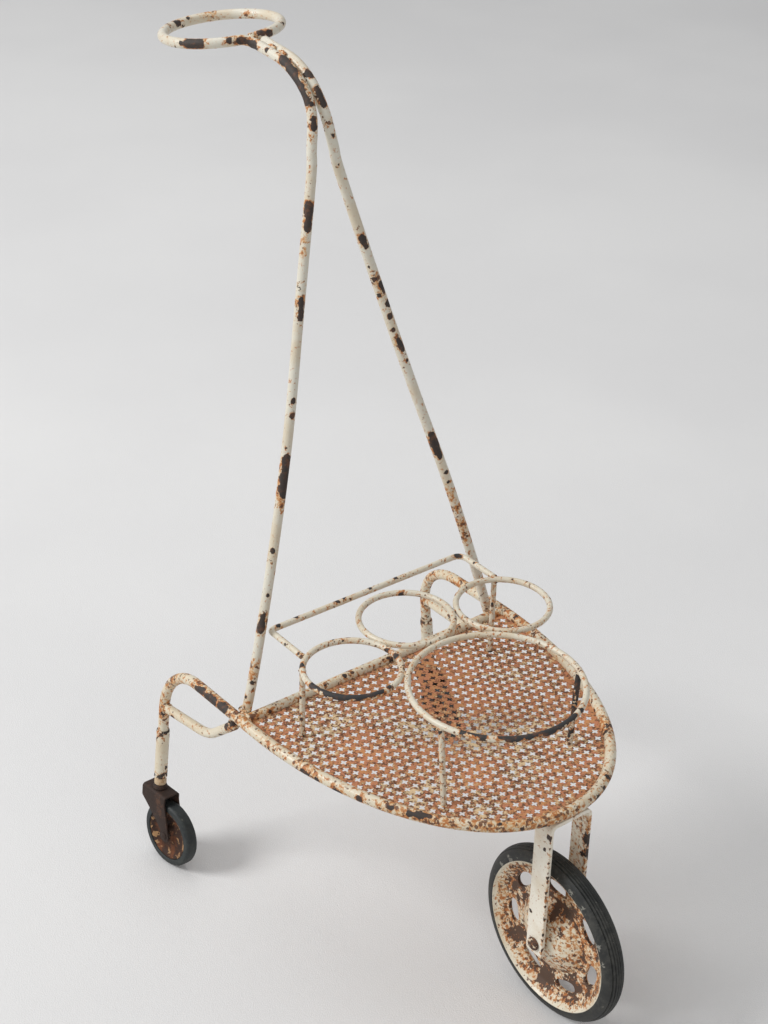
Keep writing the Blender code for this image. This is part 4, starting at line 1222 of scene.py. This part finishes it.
def make_axle(steel, head_paint):
    """Low round bolt head on the left, hexagonal nut on the right."""
    hub = Matrix.Translation(WHEEL)
    face = FORK_INNER + FORK_PLATE + GAP
    head = []
    for i in range(9):
        turn = math.pi / 2 * i / 8
        head.append((max(BOLT_HEAD * math.sin(turn), NEAR_AXIS), -face - 0.0012 - 0.0028 * math.cos(turn)))
    profile = head + [(BOLT_HEAD, -face), (BOLT_SHANK, -face), (BOLT_SHANK, face + 0.0070),
                      (BOLT_SHANK - 0.0006, face + 0.0075), (NEAR_AXIS, face + 0.0075)]
    shape = closed_bar(profile, 40, hub, 0.0002)
    piece = new_piece("axle_bolt", *shape, head_paint, wear=0.15, stain=0.8)
    stand_for(piece, ["front_axle_bolt"], "trolley_frame")
    bm = bmesh.new()
    low = []
    for i in range(6):
        turn = math.pi / 3 * i
        low.append(bm.verts.new((face, NUT_RADIUS * math.cos(turn), NUT_RADIUS * math.sin(turn))))
    bm.faces.new(low)
    grown = bmesh.ops.extrude_face_region(bm, geom=list(bm.faces))
    top = [item for item in grown["geom"] if isinstance(item, bmesh.types.BMVert)]
    bmesh.ops.translate(bm, verts=top, vec=Vector((NUT_HEIGHT, 0.0, 0.0)))
    bmesh.ops.bevel(bm, geom=list(bm.edges), offset=0.0006, segments=3, affect="EDGES")
    bm.verts.index_update()
    corners = [WHEEL + vertex.co for vertex in bm.verts]
    faces = [tuple(vertex.index for vertex in face.verts) for face in bm.faces]
    bm.free()
    piece = new_piece("axle_nut", corners, faces, steel)
    stand_for(piece, ["front_axle_nut"], "trolley_frame")


# ---- casters ---------------------------------------------------------------------------
def cheek_span(z):
    """Front and rear edge of a caster cheek at a height above the axle."""
    boss = CHEEK_BOSS
    axle_y = -CASTER_TRAIL
    skirt = FORK_CROWN - 0.0140
    nose = FORK_CROWN - 0.0084
    round_half = math.sqrt(max(boss ** 2 - z * z, 1e-9)) if abs(z) < boss else 0.0
    lean_rear = math.radians(30.0)
    touch = (axle_y + boss * math.cos(lean_rear), boss * math.sin(lean_rear))
    if z <= touch[1]:
        rear = axle_y + round_half
    elif z < skirt:
        share = (z - touch[1]) / (skirt - touch[1])
        rear = touch[0] + (0.0170 - touch[0]) * share ** 1.12
    else:
        rear = 0.0170
    if z <= 0.0:
        front = axle_y - round_half
    elif z < nose:
        front = (axle_y - boss) + (-0.0200 - (axle_y - boss)) * z / nose
    else:
        front = -0.0200
    return front, rear


def caster_fork_mesh(turn):
    """Pressed horn: one strip of sheet over the crown, with tapering cheeks and soft edges."""
    x = CHEEK_INNER + CHEEK_PLATE / 2
    top = FORK_CROWN - CHEEK_PLATE / 2
    path = bent_path([((-x, 0.0, -0.00699), 0), ((-x, 0.0, top), 0.0026), ((x, 0.0, top), 0.0026),
                      ((x, 0.0, -0.00699), 0)])
    line = even_path(path, 0.0011, False)
    sections = []
    half = CHEEK_PLATE / 2
    for spot in line:
        front, rear = cheek_span(spot.z)
        edge = min(0.0006, (rear - front) * 0.3)
        sections.append(rounded([(front, -half), (rear, -half), (rear, half), (front, half)], edge))
    corners, faces = swept(line, sections, False, Vector((0.0, 1.0, 0.0)))
    return [turn @ corner for corner in corners], faces


# sections of the caster's turned pieces: radius, and height above its axle on the swivel's axis
SLEEVE = ((0.0060, SLEEVE_BOTTOM), (0.0068, SLEEVE_BOTTOM), (0.0071, SLEEVE_BOTTOM + 0.0006),
          (0.0070, SLEEVE_BOTTOM + 0.0200), (0.0071, SLEEVE_TOP - 0.0030),
          (0.0068, SLEEVE_TOP - 0.0006), (0.0063, SLEEVE_TOP), (0.0060, SLEEVE_TOP))
RACE = ((0.0049, 0.0473), (0.0080, 0.0473), (0.0080, 0.0490), (0.0072, 0.0496), (0.0074, 0.0502),
        (0.0060, 0.0524), (0.0049, 0.0524))
COLLAR = ((0.0049, 0.0529), (0.0066, 0.0529), (0.0066, 0.0576), (0.0057, 0.0580), (0.0057, 0.0609),
          (0.0049, 0.0609))
KING_PIN = ((NEAR_AXIS, 0.0427), (0.0060, 0.0427), (0.0065, 0.0432), (0.0065, 0.0447),
            (0.0045, 0.0447), (0.0045, 0.0895), (0.0040, 0.0900), (NEAR_AXIS, 0.0900))
RIVET_HEAD = 0.0042
RIVET_RISE = 0.0014
RIVET_SHANK = 0.0028
# half sections of the caster wheel's pieces: radius, and distance from its middle plane
WHEEL_DISC = ((0.0051, 0.0068), (0.0080, 0.0068), (0.0088, 0.0062), (0.0100, 0.0038),
              (0.0112, 0.0029), (0.0150, 0.0026), (0.0205, 0.0024), (0.0228, 0.0030),
              (0.0248, 0.0048), (0.0258, 0.0056), (0.0270, 0.0061), (0.0282, 0.0062))
WHEEL_BUSH = ((0.0031, -0.0077), (0.0048, -0.0077), (0.0048, 0.0077), (0.0031, 0.0077))
TYRE_HALF_WIDTH = 0.0073
TYRE_SHOULDER = 0.0040
TYRE_SEAT = 0.0288
TYRE_BEAD = 0.0294


def caster_piece(side, tag, shape, material, node, body, slot, **look):
    piece = new_piece(side + tag, *shape, material, **look)
    stand_for(piece, [side + node], body)


def sleeve_profile():
    """The sleeve's section with points every 3 mm, so that its paint can vary along it."""
    fine = []
    for (ra, za), (rb, zb) in zip(SLEEVE, SLEEVE[1:]):
        pieces = max(1, round(abs(zb - za) / 0.003))
        fine += [(ra + (rb - ra) * i / pieces, za + (zb - za) * i / pieces) for i in range(pieces)]
    fine.append(SLEEVE[-1])
    return fine


def rivet_profile():
    face = CHEEK_INNER + CHEEK_PLATE + GAP
    dome = []
    for i in range(1, 7):
        angle = math.pi / 2 * i / 6
        dome.append((RIVET_HEAD * math.sin(angle), face + RIVET_RISE * math.cos(angle)))
    profile = [(NEAR_AXIS, -face - RIVET_RISE)] + [(radius, -along) for radius, along in dome]
    profile += [(RIVET_SHANK, -face), (RIVET_SHANK, face)]
    return profile + dome[::-1] + [(NEAR_AXIS, face + RIVET_RISE)]


def make_caster(side, sign, paint, horn, disc_metal, steel, ochre, rubber):
    foot = Vector((sign * LEG_FOOT.x, LEG_FOOT.y, LEG_FOOT.z))
    stem = Matrix.Translation(foot) @ Matrix.Rotation(sign * LEG_SPLAY, 4, "Y")
    swivel = stem @ Matrix.Rotation(sign * CASTER_REST_TURN, 4, "Z")
    axle = swivel @ Matrix.Translation((0.0, -CASTER_TRAIL, 0.0))
    upright = Matrix.Rotation(-math.pi / 2, 4, "Y")
    body = side + "_caster"
    top = stem @ Vector((0.0, 0.0, SLEEVE_TOP))
    bottom = stem @ Vector((0.0, 0.0, SLEEVE_BOTTOM + 0.004))
    caster_piece(side, "_sleeve_tube", turned(sleeve_profile(), 36, stem @ upright, 0.00012), paint,
                 "_sleeve", "trolley_frame", "cream_paint",
                 worn=[(*top, 0.012, 0.70), (*bottom, 0.0100, 1.6)], rusty=[(*top, 0.020, 0.5)],
                 wear=0.03, stain=0.2)
    caster_piece(side, "_horn", caster_fork_mesh(swivel), horn, "_caster_fork", body, "rusty_steel")
    caster_piece(side, "_race", turned(rounded(RACE, 0.0004), 48, swivel @ upright), horn,
                 "_caster_race", body, "rusty_steel")
    caster_piece(side, "_collar", turned(rounded(COLLAR, 0.0005), 48, swivel @ upright, 0.0001), ochre,
                 "_caster_collar", body, "ochre_collar")
    caster_piece(side, "_king_pin", closed_bar(KING_PIN, 32, swivel @ upright), steel,
                 "_caster_pin", body, "rusty_steel")
    caster_piece(side, "_rivet", closed_bar(rivet_profile(), 32, axle), horn,
                 "_caster_axle", body, "rusty_steel", wear=0.1)
    make_caster_wheel(side, axle, disc_metal, steel, rubber)


def caster_tyre_profile():
    profile = [(TYRE_SEAT, TYRE_HALF_WIDTH - 0.0006), (TYRE_BEAD, TYRE_HALF_WIDTH)]
    inset = TYRE_HALF_WIDTH - TYRE_SHOULDER
    for centre, start in ((inset, 0.0), (-inset, 90.0)):
        for i in range(10):
            angle = math.radians(start + 10.0 * i)
            profile.append((CASTER_RADIUS - TYRE_SHOULDER + TYRE_SHOULDER * math.sin(angle),
                            centre + TYRE_SHOULDER * math.cos(angle)))
    return profile + [(TYRE_BEAD, -TYRE_HALF_WIDTH), (TYRE_SEAT, -TYRE_HALF_WIDTH + 0.0006)]


def make_caster_wheel(side, axle, disc_metal, steel, rubber):
    body = side + "_caster_wheel"
    disc = [(radius, -along) for radius, along in WHEEL_DISC] + list(WHEEL_DISC[::-1])
    spots = []
    for i in range(9):
        angle = math.tau * i / 9 + 0.3
        edge = Vector((-0.006, 0.0262 * math.cos(angle), 0.0262 * math.sin(angle)))
        spots.append((*(axle @ edge), 0.008, 0.45 if i % 3 else 0.2))
    caster_piece(side, "_disc", turned(disc, 72, axle), disc_metal, "_caster_disc", body, "rusty_steel",
                 worn=spots)
    caster_piece(side, "_tyre", turned(caster_tyre_profile(), 96, axle), rubber, "_caster_tyre", body,
                 "grey_rubber")
    caster_piece(side, "_bush", turned(rounded(WHEEL_BUSH, 0.0003), 32, axle), steel, "_caster_bush",
                 body, "rusty_steel")


# ---- stage -----------------------------------------------------------------------------
FLOOR_HALF = 14.0
FLOOR_Z = -0.0004
# soft lights: name, place, the point each aims at, diameter in metres, power in watts
LIGHTS = (("key_light", (-4.8, 2.7, 4.4), (0.6, 1.2, 0.1), 2.7, 315.0),
          ("fill_light", (-1.4, -3.0, 2.2), (0.0, 0.0, 0.3), 2.4, 17.0),
          ("top_light", (0.2, 1.2, 3.4), (0.0, 0.3, 0.2), 2.6, 26.0))
SKY_COLOUR = (0.97, 0.98, 1.0, 1.0)
SKY_STRENGTH = 0.46
CAMERA_PLACE = (-0.97536, -1.24392, 1.35820)
CAMERA_HEADING = -38.18
CAMERA_DOWN = 30.45
CAMERA_ROLL = 1.25
CAMERA_LENS = 65.585
SENSOR_HEIGHT = 36.0


def add_area(name, place, aim, size, power):
    lamp = bpy.data.lights.new(name, "AREA")
    lamp.shape = "DISK"
    lamp.size = size
    lamp.energy = power
    item = bpy.data.objects.new(name, lamp)
    bpy.context.scene.collection.objects.link(item)
    item.location = place
    item.rotation_euler = (Vector(aim) - Vector(place)).to_track_quat("-Z", "Y").to_euler()


def make_stage():
    """Seamless pale floor, soft studio light and the camera."""
    mesh = bpy.data.meshes.new("studio_floor")
    corners = [(x * FLOOR_HALF, y * FLOOR_HALF, FLOOR_Z) for x, y in ((-1, -1), (1, -1), (1, 1), (-1, 1))]
    mesh.from_pydata(corners, [], [(0, 1, 2, 3)])
    mesh.materials.append(floor_cloth("studio_cloth"))
    floor = bpy.data.objects.new("studio_floor", mesh)
    bpy.context.scene.collection.objects.link(floor)
    for light in LIGHTS:
        add_area(*light)
    world = bpy.data.worlds.new("studio_world")
    world.use_nodes = True
    background = world.node_tree.nodes["Background"]
    background.inputs["Color"].default_value = SKY_COLOUR
    background.inputs["Strength"].default_value = SKY_STRENGTH
    bpy.context.scene.world = world
    bpy.context.scene.view_settings.view_transform = "Standard"
    camera_data = bpy.data.cameras.new("camera")
    camera_data.sensor_fit = "VERTICAL"
    camera_data.sensor_height = SENSOR_HEIGHT
    camera_data.lens = CAMERA_LENS
    camera_data.clip_start = 0.05
    camera_data.clip_end = 60.0
    camera = bpy.data.objects.new("camera", camera_data)
    bpy.context.scene.collection.objects.link(camera)
    turn = (Matrix.Rotation(math.radians(CAMERA_HEADING), 4, "Z")
            @ Matrix.Rotation(math.radians(90.0 - CAMERA_DOWN), 4, "X")
            @ Matrix.Rotation(math.radians(CAMERA_ROLL), 4, "Z"))
    camera.matrix_world = LAYOUT @ Matrix.Translation(CAMERA_PLACE) @ turn
    bpy.context.scene.camera = camera


# ---- the trolley -----------------------------------------------------------------------
def build():
    paint = chipped_paint("cream_paint_tube", 0.625)
    rod_paint = chipped_paint("cream_paint_rod", 0.630, BARE_ROD, cream=(0.650, 0.608, 0.500))
    stem_paint = chipped_paint("cream_paint_stem", 0.625, cream=(0.650, 0.622, 0.532))
    bead_paint = chipped_paint("cream_paint_weld", 0.600)
    # the fork's cream is lighter than the frame's: painted light, standing in for light on the fork's
    # outer faces
    fork_paint_painted_light = chipped_paint("cream_paint_fork_painted_light", 0.660, halo=0.05, cream=(0.800, 0.755, 0.650))
    disc_paint = chipped_paint("cream_paint_disc", 0.600, (0.080, 0.044, 0.027),
                               cream=(0.740, 0.690, 0.560), grain_scale=1.1)
    head_paint = chipped_paint("cream_paint_bolt", 0.520, (0.065, 0.030, 0.018), grain_scale=1.5)
    sheet_metal = rusted_sheet("rusted_sheet_steel")
    horn = bare_steel("bare_horn_steel", (0.032, 0.018, 0.013), (0.090, 0.042, 0.024), 0.50)
    disc_metal = bare_steel("rusty_disc_steel", (0.036, 0.016, 0.009), (0.130, 0.042, 0.014), 0.47,
                            remains=(0.42, 0.24, 0.11))
    steel = bare_steel("dull_steel", (0.16, 0.13, 0.11), (0.22, 0.09, 0.045), 0.46)
    ochre = bare_steel("ochre_collar_paint", (0.55, 0.42, 0.27), (0.40, 0.19, 0.07), 0.52)
    black = old_rubber("black_tyre_rubber", (0.016, 0.017, 0.016), (0.080, 0.078, 0.068),
                       (0.30, 0.29, 0.25))
    grey = old_rubber("grey_tyre_rubber", (0.014, 0.018, 0.019), (0.052, 0.058, 0.053),
                      (0.22, 0.21, 0.16))
    make_stage()
    make_frame_tubes(paint, rod_paint, stem_paint)
    make_sheet(sheet_metal)
    make_welds(bead_paint)
    make_fork(fork_paint_painted_light)
    make_front_wheel(disc_paint, steel, black)
    make_axle(steel, head_paint)
    for side, sign in (("left", 1.0), ("right", -1.0)):
        make_caster(side, sign, paint, horn, disc_metal, steel, ochre, grey)


build()
